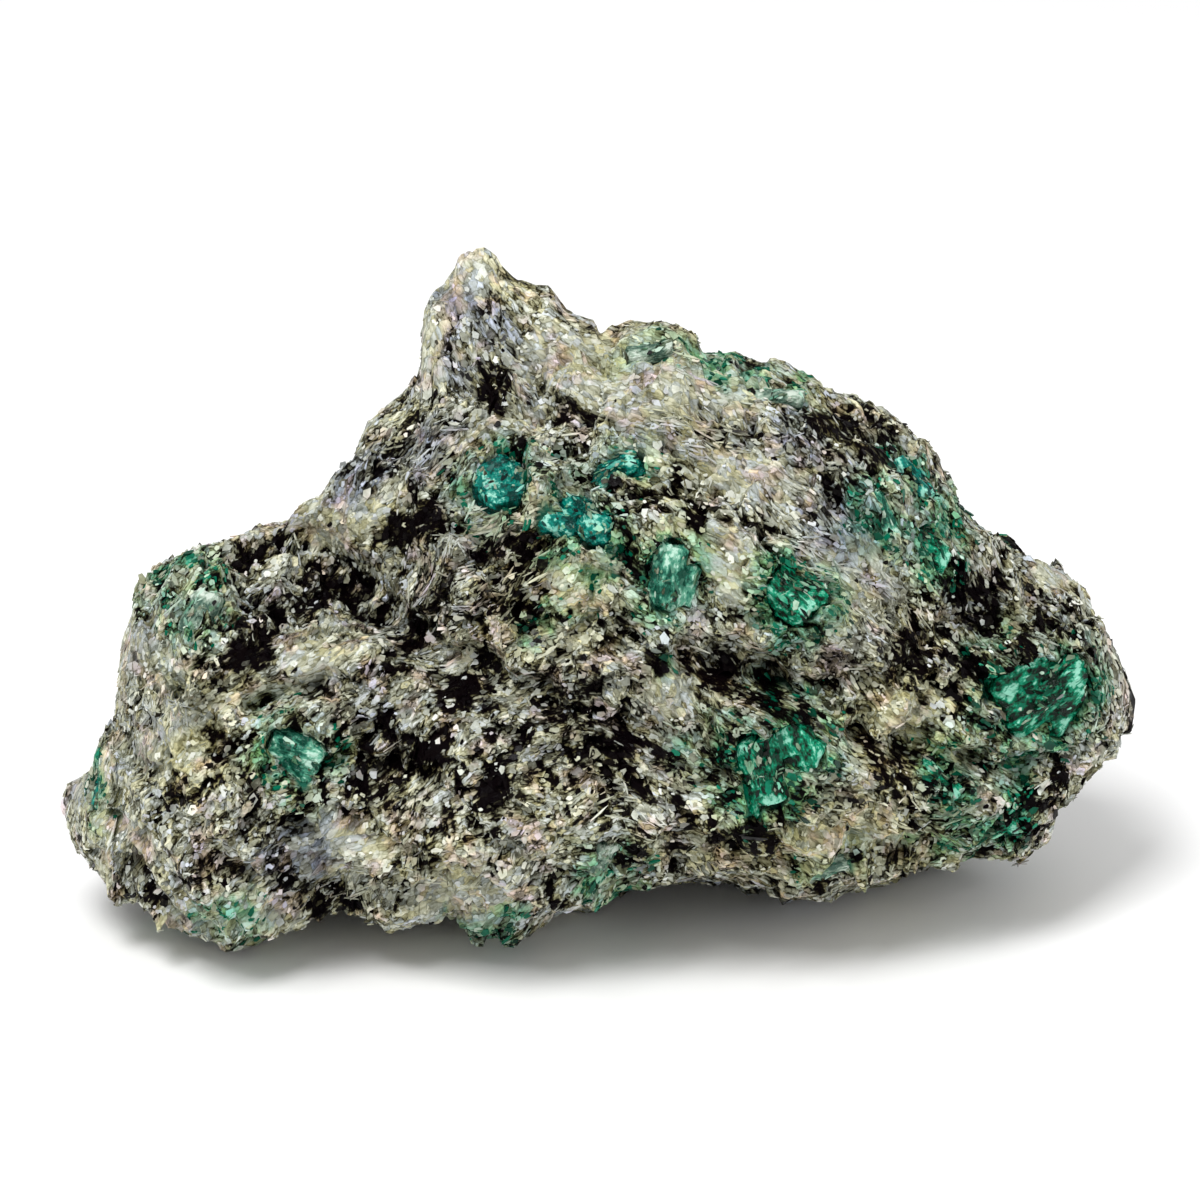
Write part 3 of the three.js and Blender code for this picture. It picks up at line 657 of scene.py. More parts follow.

# %% [markdown]
# ## Dark and pale places
# On the real face dark mica fills some patches and silvery mica others. The dark patches along the clefts
# and in pits are partly dark mica and partly painted shade; the pale patches on shelves and knuckles, and in
# places that clefts and ledges shade, are partly silvery mica and partly painted light. The lower right is
# browner, and a few places are slate blue or stained green; on the horn's left face the slate blue is partly
# painted shade. Each kind is a short list of ellipses, with rims frayed by noise. Round the back, where no
# list reaches, noise alone decides.

# %% Patches of the face
PATCHES = {  # x, v, half length, half width, turn in degrees
    # dark: partly dark mica, partly painted shade along the clefts and in pits
    "dark": [
        (-17.2, 37.2, 3.6, 1.6, 20), (-25.4, 31.6, 3.4, 1.4, 20), (-30.4, 27.6, 3.8, 1.7, 62),
        (-14.6, 31.2, 3.6, 1.5, 65), (-19.2, 16.4, 3.7, 2.5, 70), (-15.2, 18.2, 2.6, 1.5, 60),
        (-8.8, 15.8, 2.6, 1.6, 70), (-4, 23.2, 3, 1.3, -35), (0.6, 18.2, 2.8, 1.2, -30),
        (12.4, 24.2, 5.6, 2, -18), (16, 21.6, 2.8, 1.6, -30), (22.7, 22.6, 2.6, 0.9, 85),
        (22.5, 45.6, 4, 1.9, -28), (9.9, 45, 2.6, 0.7, -12), (33.4, 31.2, 3.4, 2.2, -40),
        (27.6, 26, 2.2, 1.8, 60), (27.4, 16, 3.6, 1.6, -22), (36.6, 26.8, 2.6, 1.8, 50),
        (2.6, 11.2, 2.4, 2, 40), (-9.2, 50.2, 2.4, 1.5, -60), (-34.6, 7.2, 2.4, 1, 10),
        (-36.8, 14, 2.2, 1, 20), (-7, 36.2, 4.2, 1.2, 20), (37.6, 11.4, 3, 2, 30),
        (-33.4, 18, 1, 2.2, 10), (4.8, 25.4, 1.6, 1.4, 0), (17.6, 13.6, 2.4, 1.2, 60),
        (25, 8, 5, 0.4, -5), (-8, 31.6, 3, 1.1, 45), (34, 24.6, 3.2, 1.5, -30),
        (-17.5, 26.5, 2.6, 1, 60), (-10.6, 24.4, 3, 1.5, 55), (11.4, 16.8, 2.4, 2.4, 0),
        (12.6, 10.6, 3.4, 1.4, 0), (39.4, 30, 2, 1.1, -40), (4.6, 17.2, 3.2, 1.8, -20),
        (-15.6, 39, 2.6, 1.2, 20), (-2.2, 24.6, 2.8, 1.4, -35), (-24, 3.6, 2, 0.8, 0),
    ],
    # pale: partly silvery mica, partly painted light on shelves, knuckles and places shaded by clefts and
    # ledges
    "pale": [
        (4, 50.5, 11, 4, -8), (12.6, 41.8, 5, 2.2, -20), (-37, 18.6, 4.6, 3.4, 28),
        (-42.6, 9.6, 3.6, 3, 60), (-23.6, 38.4, 4, 2.8, 20), (6.4, 22.8, 3, 2, 10),
        (10.8, 33.8, 2.6, 4.4, 10), (21.6, 33.8, 3.2, 4, 0), (-12.4, 59.4, 3.2, 2.4, 60),
        (-15.2, 54, 1.3, 3.6, 8), (19.8, 30.2, 2, 2.6, 0), (-12.6, 5.2, 6, 3.2, 10),
        (-24.6, 26.4, 3.4, 3, 40), (-41, 26, 3, 5, 70), (41.8, 33, 2.4, 1.4, -40),
        (27, 21.4, 2.6, 2.2, 20), (-1, 33, 4, 2.4, 40), (-45, 15, 3, 3, 60),
        (-23.4, 9.4, 4.4, 3.6, 0), (-37, 2.6, 3, 2.4, 0), (-30.6, 2.8, 3, 2, 0),
        (22, 9.8, 6.4, 1.8, -4), (-5.4, 52.6, 2.4, 3, 0), (-7.6, 46.8, 3.6, 1.8, 10),
        (5.4, 46.4, 5, 3.6, -20),
    ],
    "brown": [
        (20, 10, 13, 4.6, -4), (27, 20, 7, 5, 0), (-5, 30.6, 7, 5, 30),
        (-34, 17, 5, 3.4, 20), (6, 36, 4, 2, 0), (-1, 52.4, 3, 2, 0),
    ],
    # slate: a blue-grey tint, on the horn's left face partly painted shade
    "slate": [
        (-11, 56.6, 4.2, 1.6, -40), (-12.6, 52.2, 1.5, 2.6, 0), (-15, 44.8, 3.6, 2, 40),
        (21, 39.4, 3.4, 4.2, 0), (-27, 8.6, 3.4, 3.4, 0), (17.6, 45.4, 2.6, 2, -20),
        (-21, 42, 4, 2, 40),
    ],
    "green": [
        (-36.6, 31.4, 4, 4.6, 60), (-27, 17.4, 4.6, 2.8, 0), (-3, 38.8, 4.6, 4.4, -40),
        (24, 38.4, 3, 3.6, -60), (38, 22, 7.6, 5.2, 20), (13, 16.6, 6.4, 4.2, -20),
        (1, 6.6, 3.4, 3.2, 30), (-33.3, 2.4, 4.4, 2, 0), (12.6, 51.6, 7, 1.6, -14),
        (-9.6, 2, 4, 1.6, 0), (5.6, 25, 1.4, 1.4, 0), (-4.4, 29, 2.6, 1.6, 20),
        (34, 10.6, 4.6, 2.4, 20), (30.6, 38, 3, 3.6, -40), (16.6, 31.4, 3.2, 3.4, 0),
        (6, 33, 2.6, 4, 0),
    ],
}
print("patches:", {kind: len(rows) for kind, rows in PATCHES.items()})

# %% [markdown]
# ## Shares of each kind
# The lists become shares from 0 to 1 at every place of the ground. Noise of its own then breaks up each kind:
# dark mica along the lie, green in blotches, and thin brown and slate tints over the whole stone.

# %% Shares of the ground
BACK_SEEDS = {"dark": 21, "pale": 22, "brown": 23, "slate": 24, "green": 25}
BACK_PITCH = 6.5
FRAYS = [(1.2, 2.4, 11), (0.9, 0.9, 13)]  # reach, pitch and first seed of the noise that frays rims
PATCH_RIM, PATCH_SOFT = 1.25, 0.5  # in half widths: where a patch ends, and over how much it fades
BROKEN_UP = 0.3  # what breaking up leaves of a kind at least
PALE_EASES_CRACK_SHADE = 0.75  # pale places lose this share of the cracks' painted shade and black scales


def patch_share(kind, points):
    """How far a place lies in a kind's patches, 0 to 1: soft ellipses on the face, noise round the back."""
    x, v, n = np.moveaxis(points, -1, 0)
    front = smoothstep(n - along(RIM_DEPTH, x), -4, 1)
    for reach, pitch, seed in FRAYS:
        x = x + reach * lattice_noise(points, pitch, seed)
        v = v + reach * lattice_noise(points, pitch, seed + 1)
    x0, v0, long, wide, turn = np.array(PATCHES[kind], float).T
    cosine, sine = np.cos(np.radians(turn)), np.sin(np.radians(turn))
    from_x, from_v = x[..., None] - x0, v[..., None] - v0
    away = np.hypot((from_x * cosine + from_v * sine) / long, (from_v * cosine - from_x * sine) / wide)
    face = smoothstep(PATCH_RIM - away.min(-1), 0, PATCH_SOFT)
    return front * face + (1 - front) * blotches(points, BACK_PITCH, BACK_SEEDS[kind], 0.32, 0.6)


def broken_up(share, noise):
    """A share times noise from 0 to 1, of which a part is always left."""
    return share * (BROKEN_UP + (1 - BROKEN_UP) * noise)


shares = {kind: patch_share(kind, ground_mm) for kind in PATCHES}
shares["dark"] = broken_up(shares["dark"], blotches(laid_out(ground_mm), 0.8, 15, -0.25, 0.2))
shares["green"] = broken_up(np.maximum(shares["green"], halo), blotches(ground_mm, 1.6, 18, -0.3, 0.3))
shares["brown"] = np.maximum(shares["brown"], 0.6 * blotches(ground_mm, 4.5, 16, 0.15, 0.55))
shares["slate"] = np.maximum(shares["slate"], 0.35 * blotches(ground_mm, 3.5, 17, 0.25, 0.6))
# pale places lose most of the painted shade in their cracks, though not their depth
crack = crack * (1 - PALE_EASES_CRACK_SHADE * shares["pale"])
print({kind: f"{share.mean():.0%}" for kind, share in shares.items()})

# %% [markdown]
# ## Scattering
# Single scales lie on the broken plates. They are scattered over the ground by area, so that big and small
# cells of the grid carry them alike: a cell is drawn by its area times a weight, then a place inside it. None
# grows on the underside or inside a pocket.

# %% Places on the ground
rng = np.random.default_rng(20)
around = np.roll(ground_mm, -1, axis=1) - np.roll(ground_mm, 1, axis=1)
ground_normal = unit(np.cross(around, np.gradient(ground_mm, axis=0)))
CLEAR_OF_FLOOR = 0.35


def cell_area():
    """The area of each cell of the ground: half the length of the cross product of its diagonals."""
    low, high = ground_mm[:-1], ground_mm[1:]
    rising, falling = np.roll(high, -1, axis=1) - low, high - np.roll(low, -1, axis=1)
    return np.linalg.norm(np.cross(rising, falling), axis=-1) / 2


def blend_at(values, cell, share):
    """A grid's values at places inside its cells, blended from the four corners of each cell."""
    i, j = np.unravel_index(cell, (STATIONS - 1, TURNS))
    k = (j + 1) % TURNS
    shaped = share if values.ndim == 2 else share[:, :, None]
    low = values[i, j] * (1 - shaped[1]) + values[i, k] * shaped[1]
    high = values[i + 1, j] * (1 - shaped[1]) + values[i + 1, k] * shaped[1]
    return low * (1 - shaped[0]) + high * shaped[0]


area = cell_area()
bare = (ground_mm @ upward + SHIFT[2] < CLEAR_OF_FLOOR) | (pocket > 0.5)
carries = area * ~(bare[:-1] | bare[1:])
print("surface:", round(area.sum() / 100, 1), "cm2, of which", round(carries.sum() / 100, 1), "carry scales")


def scatter(count, weight):
    """Random places on the ground with their normals and patch shares; weight says how likely each is."""
    chance = carries * weight[:-1]
    cell = rng.choice(chance.size, count, p=(chance / chance.sum()).ravel())
    share = rng.random((2, count))
    found = {kind: blend_at(values, cell, share) for kind, values in shares.items()}
    return blend_at(ground_mm, cell, share), unit(blend_at(ground_normal, cell, share)), found

# %% [markdown]
# ## Scale shapes
# A scale is a thin plate with a ragged outline of five corners, the same above and below and joined by a
# wall. All scales of a kind are joined in one mesh, because thousands of objects would be slow and an export
# would drop instances. Each scale also gets its own small square of a map, so that colours can be baked
# without seams.

# %% Scale shapes
CORNERS = 5  # of a scale's outline
RAGGED_TURN, RAGGED_REACH = 0.28, (0.72, 1.12)  # how unevenly the corners stand
UNDERCUT = 0.86  # size of the lower face
ABOVE, BELOW = ((0.42, 0.60), 0.36), ((0.88, 0.12), 0.09)  # middle and radius of each face in its square
WALL = [(0.04, 0.12), (0.04, 0.04), (0.16, 0.04), (0.16, 0.12)]
WALL_STEP = (0.145, 0)


def scale_mesh(middle, forward, across, normal, long, wide, thick):
    """Flat scales as one mesh: a ragged five-cornered outline above and below, joined by a side wall."""
    count = len(middle)
    uneven = rng.uniform(-RAGGED_TURN, RAGGED_TURN, (count, CORNERS))
    angle = 2 * np.pi * (np.arange(CORNERS) + uneven) / CORNERS
    ragged = rng.uniform(*RAGGED_REACH, (count, CORNERS))
    a = (np.cos(angle) * ragged * long[:, None] / 2)[..., None] * forward[:, None]
    b = (np.sin(angle) * ragged * wide[:, None] / 2)[..., None] * across[:, None]
    lift = (thick / 2)[:, None, None] * normal[:, None]
    upper, lower = middle[:, None] + a + b + lift, middle[:, None] + UNDERCUT * (a + b) - lift
    first = 2 * CORNERS * np.arange(count)[:, None]
    here = np.arange(CORNERS)
    beside = (here + 1) % CORNERS
    above, below = first + here, first + CORNERS + here[::-1]
    walls = np.stack([first + here, first + CORNERS + here, first + CORNERS + beside, first + beside], -1)
    return np.concatenate([upper, lower], 1).reshape(-1, 3), [above, below, walls.reshape(-1, 4)]


def map_squares(piece, count):
    """A map with one square for each scale: its upper face large, its lower face and walls in the margins."""
    side = int(np.ceil(np.sqrt(count)))
    corner = np.stack(np.divmod(np.arange(count), side), -1)[:, None]
    angle = 2 * np.pi * np.arange(CORNERS) / CORNERS
    ring = np.stack([np.cos(angle), np.sin(angle)], -1)
    above, below = [np.array(middle) + radius * ring for middle, radius in (ABOVE, BELOW)]
    walls = (np.array(WALL) + np.arange(CORNERS)[:, None, None] * np.array(WALL_STEP)).reshape(-1, 2)
    squares = [((corner + part) / side).reshape(-1, 2) for part in (above, below[::-1], walls)]
    layer = piece.data.uv_layers.new(name="OFBake")
    layer.data.foreach_set("uv", np.concatenate(squares).astype(np.float32).ravel())


print("a scale has", 2 * CORNERS, "corners and", CORNERS + 2, "faces")

# %% [markdown]
# ## Books of scales
# Scales come in books that share one tilt and nearly one tone, as mica does; here a book is a random cell
# drawn out along the mica. Sizes, tilts and tones spread about the values of their kind, because equal scales
# look printed.

# %% Pieces of scales
TIP_SPREAD = 0.09  # how far a scale tips out of its book
LENGTH_SPREAD, SHORTEST, LONGEST = 0.38, 0.4, 2.2
WIDTHS, THICKNESSES = (0.7, 1.4), (0.6, 1.5)  # least and most, times those of the kind
FLOOR_GAP = 0.05


def scale_piece(name, slot, nodes, place, normal, forward, book, long, slim, thick, tilt, lift):
    """One piece of scales at given places: tilted by their books, drawn out forwards, clear of the floor."""
    count = len(place)
    tipped = unit(normal + tilt * (2 * book - 1) + rng.normal(0, TIP_SPREAD, (count, 3)))
    forward = unit(forward - tipped * (forward * tipped).sum(-1, keepdims=True))
    length = np.clip(long * np.exp(rng.normal(0, LENGTH_SPREAD, count)), SHORTEST * long, LONGEST * long)
    width = length * slim * rng.uniform(*WIDTHS, count)
    thickness = thick * rng.uniform(*THICKNESSES, count)
    middle = place + normal * (lift * rng.uniform(-1, 1, count))[:, None]
    keep = (middle @ upward + SHIFT[2]) > length / 2 + FLOOR_GAP
    placed = (middle, forward, np.cross(tipped, forward), tipped, length, width, thickness)
    corners, faces = scale_mesh(*[values[keep] for values in placed])
    piece = add_piece(name, to_row(corners), faces, slot, *nodes)
    map_squares(piece, int(keep.sum()))
    return piece, keep


def paint(piece, keep, **values):
    """One number of each kind for every scale, repeated on all its corners."""
    for kind, numbers in values.items():
        add_value(piece, kind, np.repeat(np.clip(numbers[keep], 0, 1), 2 * CORNERS))


print("lengths of scales run from", SHORTEST, "to", LONGEST, "times the usual")

# %% [markdown]
# ## Kinds of scales
# Each kind is a row of one table with its count, shape and tone. Single scales turn a little from the lie,
# and take brown or slate tints with their book.

# %% Kinds of scales
BOOK_PITCH = 1.9
SPLAY, LIFT = 0.25, 0.05  # how far a scale turns from the lie in radians, and rises in millimetres
BOOK_TONE, OWN_TONE, PALE_CALM = 0.30, 0.08, 0.45  # spread of tones, and how much less of it pale places have
TINT_SPREAD = (0.3, 1.3)
BROWN_BOOKS, SLATE_BOOKS = (2.0, 0.6), (2.2, 0.35)  # strength, and the book number where it begins
SCALES = {  # count, length, width to length, thickness, tilt; tone, and what pale, dark and slate add to it
    "silver_scales": (11500, 0.62, 0.66, 0.09, 0.24, (0.72, 0.06, -0.08, -0.08)),
    "grey_scales": (11500, 0.62, 0.66, 0.09, 0.26, (0.63, 0.08, -0.12, -0.08)),
    "black_scales": (5000, 0.7, 0.6, 0.09, 0.3, (0.28, 0, -0.12, 0)),
    "white_fibres": (4200, 1.6, 0.10, 0.09, 0.10, (0.66, 0, -0.1, 0)),
    "green_grains": (3200, 0.7, 0.5, 0.15, 0.34, (0.45, 0, 0, 0)),
}


def scales(name, weight, slot="schist"):
    """Scatters a listed kind of scales over the ground, by weight, and makes one piece of them."""
    count, *shape, (tone, *added) = SCALES[name]
    place, normal, found = scatter(count, weight)
    book = nearest_cells(laid_out(place) / BOOK_PITCH, 5)[1]
    angle = lie_of(place) + rng.normal(0, SPLAY, count)
    forward = np.stack([np.cos(angle), np.sin(angle), np.zeros(count)], -1)
    piece, keep = scale_piece(name, slot, ["matrix"], place, normal, forward, book, *shape, LIFT)
    # pale, dark and slate places shift the tone, partly as painted light and shade
    for kind, more in zip(("pale", "dark", "slate"), added):
        tone = tone + more * found[kind]
    spread = 1 - PALE_CALM * found["pale"]
    tone = tone + spread * (BOOK_TONE * (book[:, 0] - 0.5) + rng.normal(0, OWN_TONE, count))
    # brown and green are stain; slate is a tint, on the horn partly painted shade
    tints = {kind: found[kind] * rng.uniform(*TINT_SPREAD, count) for kind in ("brown", "slate", "green")}
    tints["brown"] = tints["brown"] + BROWN_BOOKS[0] * np.maximum(book[:, 1] - BROWN_BOOKS[1], 0)
    tints["slate"] = tints["slate"] + SLATE_BOOKS[0] * np.maximum(SLATE_BOOKS[1] - book[:, 1], 0)
    paint(piece, keep, tone=tone, **tints)
    return piece


print("kinds of scales:", list(SCALES))

# %% [markdown]
# ## Silver, grey and black scales
# Pale scales cover the stone except for its dark patches and cracks, and black ones fill those, partly as
# dark mica and partly as painted shade in the cracks, clefts and pits. All are sparser along the rim, where
# they would fray the outline.

# %% Silver, grey and black scales
dark, pale = shares["dark"], shares["pale"]
off_rim = 0.25 + 0.75 * smoothstep(from_rim, 0.05, 0.4)
light = ((1 - dark) ** 2 + 0.03) * (1 - 0.9 * crack) * off_rim
silver_scales = scales("silver_scales", light * (1 - 0.35 * pale))
grey_scales = scales("grey_scales", light * (1 - 0.5 * pale))
# black scales: dark mica, and painted shade in cracks and along the clefts
black_scales = scales("black_scales", (0.05 + dark + 0.5 * crack) * (1 - 0.7 * pale) * off_rim)

# %% [markdown]
# ## White fibres
# Here and there the mica has weathered to silky white fibres, in sheaves that follow the lie. They are the
# same scales drawn out long and thin, and nearly all in the listed sheaves.

# %% Sheaves
PATCHES["sheaf"] = [  # x, v, half length, half width, turn
    (-12, 36, 6, 2, 40), (-8, 32, 5, 1.6, 42), (-12.6, 28, 4, 1.5, 50),
    (-16, 44, 4, 2, 40), (18, 36, 5, 1.8, -38), (8, 46, 6, 1.8, -14),
    (-40, 20, 4, 2, 58), (26, 31, 4, 1.8, -40), (30, 12, 5, 1.4, -10),
    (-22, 6, 4, 1.6, 35), (2, 14, 4, 1.6, -25),
]
BACK_SEEDS["sheaf"] = 26
sheaves = 0.02 + patch_share("sheaf", ground_mm)
white_fibres = scales("white_fibres", sheaves * (1 - crack) * off_rim**2)

# %% [markdown]
# ## Crystal shapes
# A crystal is a closed surface on a grid of directions from its middle. Along each direction a ray leaves a
# prism where it meets the first of the prism's planes, and a cluster of grown-together prisms reaches as far
# as the furthest of them, so the cluster is one solid with flat faces. A few extra planes chip its corners,
# as on broken beryl. Cutting prisms with modifiers would work too, but would leave no even grid for the fine
# steps of its faces.

# %% Prisms and rays
PARALLEL = 1e-9  # rays that meet a plane at less than this run along it


def prism_planes(radius, length, shift=(0, 0, 0), turn=0):
    """Normals and distances of a prism's planes from the crystal's middle: 6 sides, 2 ends, 12 chamfers."""
    chamfer, flat = CHAMFER * radius, np.cos(np.radians(30))
    angle = np.radians(30 + 60 * np.arange(6))
    round_about = np.stack([np.sin(angle), np.zeros(6), np.cos(angle)], 1)
    lengthwise = np.array([0.0, 1.0, 0.0])
    sloped = [unit(round_about + sign * flat * lengthwise) for sign in (1, -1)]
    normals = np.concatenate([round_about, [lengthwise, -lengthwise], *sloped])
    corner = (radius * flat + flat * (length / 2 - chamfer)) / np.hypot(1, flat)
    reach = np.concatenate([np.full(6, radius * flat), [length / 2] * 2, np.full(12, corner)])
    normals = normals @ about_z(turn)
    forward, across, out = shift
    return normals, reach + normals @ np.array([across, forward, out])


def ray_exit(rays, normals, reach):
    """How far rays from the middle go before they leave a prism: to the nearest plane ahead, or 0 if a plane
    behind is further."""
    facing = rays @ normals.T
    with np.errstate(divide="ignore", invalid="ignore"):
        met = reach / facing
    leave = np.where(facing > PARALLEL, met, np.inf).min(-1)
    enter = np.where(facing < -PARALLEL, met, -np.inf).max(-1)
    return np.where(leave > np.maximum(enter, 0), leave, 0)


print("a prism has", len(prism_planes(1, 2)[1]), "planes")

# %% [markdown]
# ## Broken crystals
# Most crystals of the real piece are broken nearly flush with the schist, and their faces are hackly: low
# steps drawn out along the crystal, and larger uneven breaks. Both are random cells, which lower the surface
# along each ray.

# %% Crystals
RINGS, SPOKES = 34, 68
CHIPS, CHIP_REACH = 9, (0.80, 0.97)  # planes across the corners, and how far out they lie
BROKEN, BREAK_TILT = 0.6, 0.08  # share of what stands proud that is broken off, and the tilt of the break
HACKLE, HACKLE_LEVEL, HACKLE_PITCH, HACKLE_DRAWN = 0.22, 0.8, 0.7, np.array([1.0, 0.3, 1.0])
RAGGED, RAGGED_PITCH = 0.4, 1.3
LEAST_REACH = 1.5  # rays shorter than this are roughened less
NO_CHIP = 1e3
FIRST_SEED = 40


def crystal(name, proud, prisms, seed):
    """A cluster of prisms as one closed surface, chipped, with low steps along its faces."""
    chance = np.random.default_rng(seed)
    middle, axes, normal, outline, here = seats[name]
    polar = (np.pi * (np.arange(RINGS) + 0.5) / RINGS)[:, None]
    spoke = 2 * np.pi * np.arange(SPOKES) / SPOKES
    rays = np.broadcast_arrays(np.sin(polar) * np.cos(spoke), np.sin(polar) * np.sin(spoke), -np.cos(polar))
    rays = np.concatenate([np.stack(rays, -1).reshape(-1, 3), [[0, 0, -1.0], [0, 0, 1.0]]])
    reach = np.max([ray_exit(rays, *prism_planes(*prism)) for prism in prisms], axis=0)
    chips = chance.normal(0, 1, (CHIPS, 3))
    chips = unit(np.concatenate([chips, [axes @ normal + chance.normal(0, BREAK_TILT, 3)]]))
    chip_reach = (chips @ (outline @ axes.T).T).max(1) * np.append(chance.uniform(*CHIP_REACH, CHIPS), 1)
    chip_reach[-1] -= BROKEN * proud
    reach = np.minimum(reach, ray_exit(rays, chips, chip_reach) + NO_CHIP * (rays @ chips.T <= 0).all(-1))
    grain = rays * reach[:, None]
    hackly = nearest_cells(grain * HACKLE_DRAWN / HACKLE_PITCH + seed, seed)[1][:, 0]
    ragged = nearest_cells(grain / RAGGED_PITCH + seed, seed)[1][:, 1]
    raised = HACKLE * (hackly - HACKLE_LEVEL) - RAGGED * ragged
    grain = grain * (1 + raised / np.maximum(reach, LEAST_REACH))[:, None]
    place = middle + grain @ axes
    rows = place[:-2].reshape(RINGS, SPOKES, 3)
    corners, faces = closed_grid(rows, place[-2], place[-1])
    piece = add_piece("crystal_" + name, to_row(corners), faces, "emerald", "emerald_" + name)
    add_value(piece, "grain", grain)
    return piece, rows


crystals, crystal_rows = zip(*[
    crystal(name, proud, prisms, FIRST_SEED + number)
    for number, (name, *placing, proud, finish, prisms) in enumerate(EMERALDS)
])

# %% [markdown]
# ## Splinters and crumbs
# The broken faces are splintered, and crumbs of mica cling to them. Both are made as the scales are:
# splinters lie along each crystal on the side that shows, and crumbs where the crystal comes out of the stone
# and in drifts on its face. Round the crystals the schist is sown with grains of beryl.

# %% Splinters of beryl
SPLINTERS_PER_MM2, CHIP_BOOK = 0.7, 0.9
SPLINTER = (1.0, 0.28, 0.08, 0.14, 0.03)  # length, width to length, thickness, tilt and lift


def on_crystals(per_mm2, weight):
    """Random places on the crystals, their normals, the crystals' axes, and whether they are deep, milky or a
    coat; weight picks places by height over the stone and by how far a face looks out of it."""
    found = []
    for (name, *placing, finish, prisms), rows in zip(EMERALDS, crystal_rows):
        middle, axes, normal, corners, here = seats[name]
        side, up = np.roll(rows, -1, axis=1) - rows, np.gradient(rows, axis=0)
        across = np.cross(side, up)
        facing = unit(across)
        likely = weight((rows - here) @ normal, facing @ normal, rows)
        chance = (np.linalg.norm(across, axis=-1) * likely).ravel()
        count = rng.poisson(per_mm2 * chance.sum())
        pick = rng.choice(chance.size, count, p=chance / chance.sum())
        place = rows.reshape(-1, 3)[pick] + side.reshape(-1, 3)[pick] * rng.random((count, 1))
        greens = np.tile([finish == "deep", finish in ("milky", "coat"), finish == "coat"], (count, 1))
        found.append((place, facing.reshape(-1, 3)[pick], np.tile(axes[1], (count, 1)), greens))
    return [np.concatenate(part) for part in zip(*found)]


def showing(height, facing, rows):
    """Where splinters lie: on faces that look out of the stone and stand clear of the pocket."""
    return (facing > 0.1) * (height > -0.6)


place, normal, axis, greens = on_crystals(SPLINTERS_PER_MM2, showing)
axis = axis + rng.normal(0, SPLAY, axis.shape)
book = nearest_cells(place / CHIP_BOOK, 6)[1]
crystal_nodes = ["emerald_" + row[0] for row in EMERALDS]
splinters, keep = scale_piece("splinters", "emerald", crystal_nodes, place, normal, axis, book, *SPLINTER)
tone = 0.48 + 0.6 * (book[:, 0] - 0.5) + 0.06 * greens[:, 0] + 0.22 * greens[:, 2]
tone = tone + rng.normal(0, 0.1, len(place))
paint(splinters, keep, tone=tone, teal=greens[:, 0], milk=greens[:, 1])

# %% [markdown]
# ## Crumbs and grains
# Crumbs of mica soften the rims of the crystals, which would look inlaid without them. Grains of beryl follow
# the green stain of the schist.

# %% Crumbs of mica and grains of beryl
CRUMBS_PER_MM2 = 2.8
CRUMB = (0.7, 0.5, 0.09, 0.3, 0.05)  # length, width to length, thickness, tilt and lift
DRIFT, DRIFT_PITCH = 0.45, 2.2


def clinging(height, facing, rows):
    """Where crumbs cling: along the rim of a crystal's pocket, and in drifts on its face."""
    drifts = blotches(rows, DRIFT_PITCH, 27, 0.1, 0.4) * (facing > 0.2) * (height > -0.4)
    return np.exp(-(((height - 0.1) / 0.4) ** 2)) * (facing < 0.86) + DRIFT * drifts


place, normal, axis, greens = on_crystals(CRUMBS_PER_MM2, clinging)
book = nearest_cells(place / CHIP_BOOK, 7)[1]
crumbs, keep = scale_piece("crumbs", "schist", ["matrix"], place, normal, axis, book, *CRUMB)
tone = 0.56 + 0.4 * (book[:, 0] - 0.5) + rng.normal(0, 0.1, len(place))
untinted = np.zeros(len(place))
paint(crumbs, keep, tone=tone, green=rng.uniform(0.2, 1.2, len(place)), brown=untinted, slate=untinted)
green_grains = scales("green_grains", shares["green"] ** 2, slot="emerald")

# %% [markdown]
# ## Shader maths as Python
# Finishes are drawn by nodes. A small class wraps one socket, so that sums and products of patterns read as
# Python and add their own Math nodes. One method makes any other node from its type, its settings and its
# sockets.

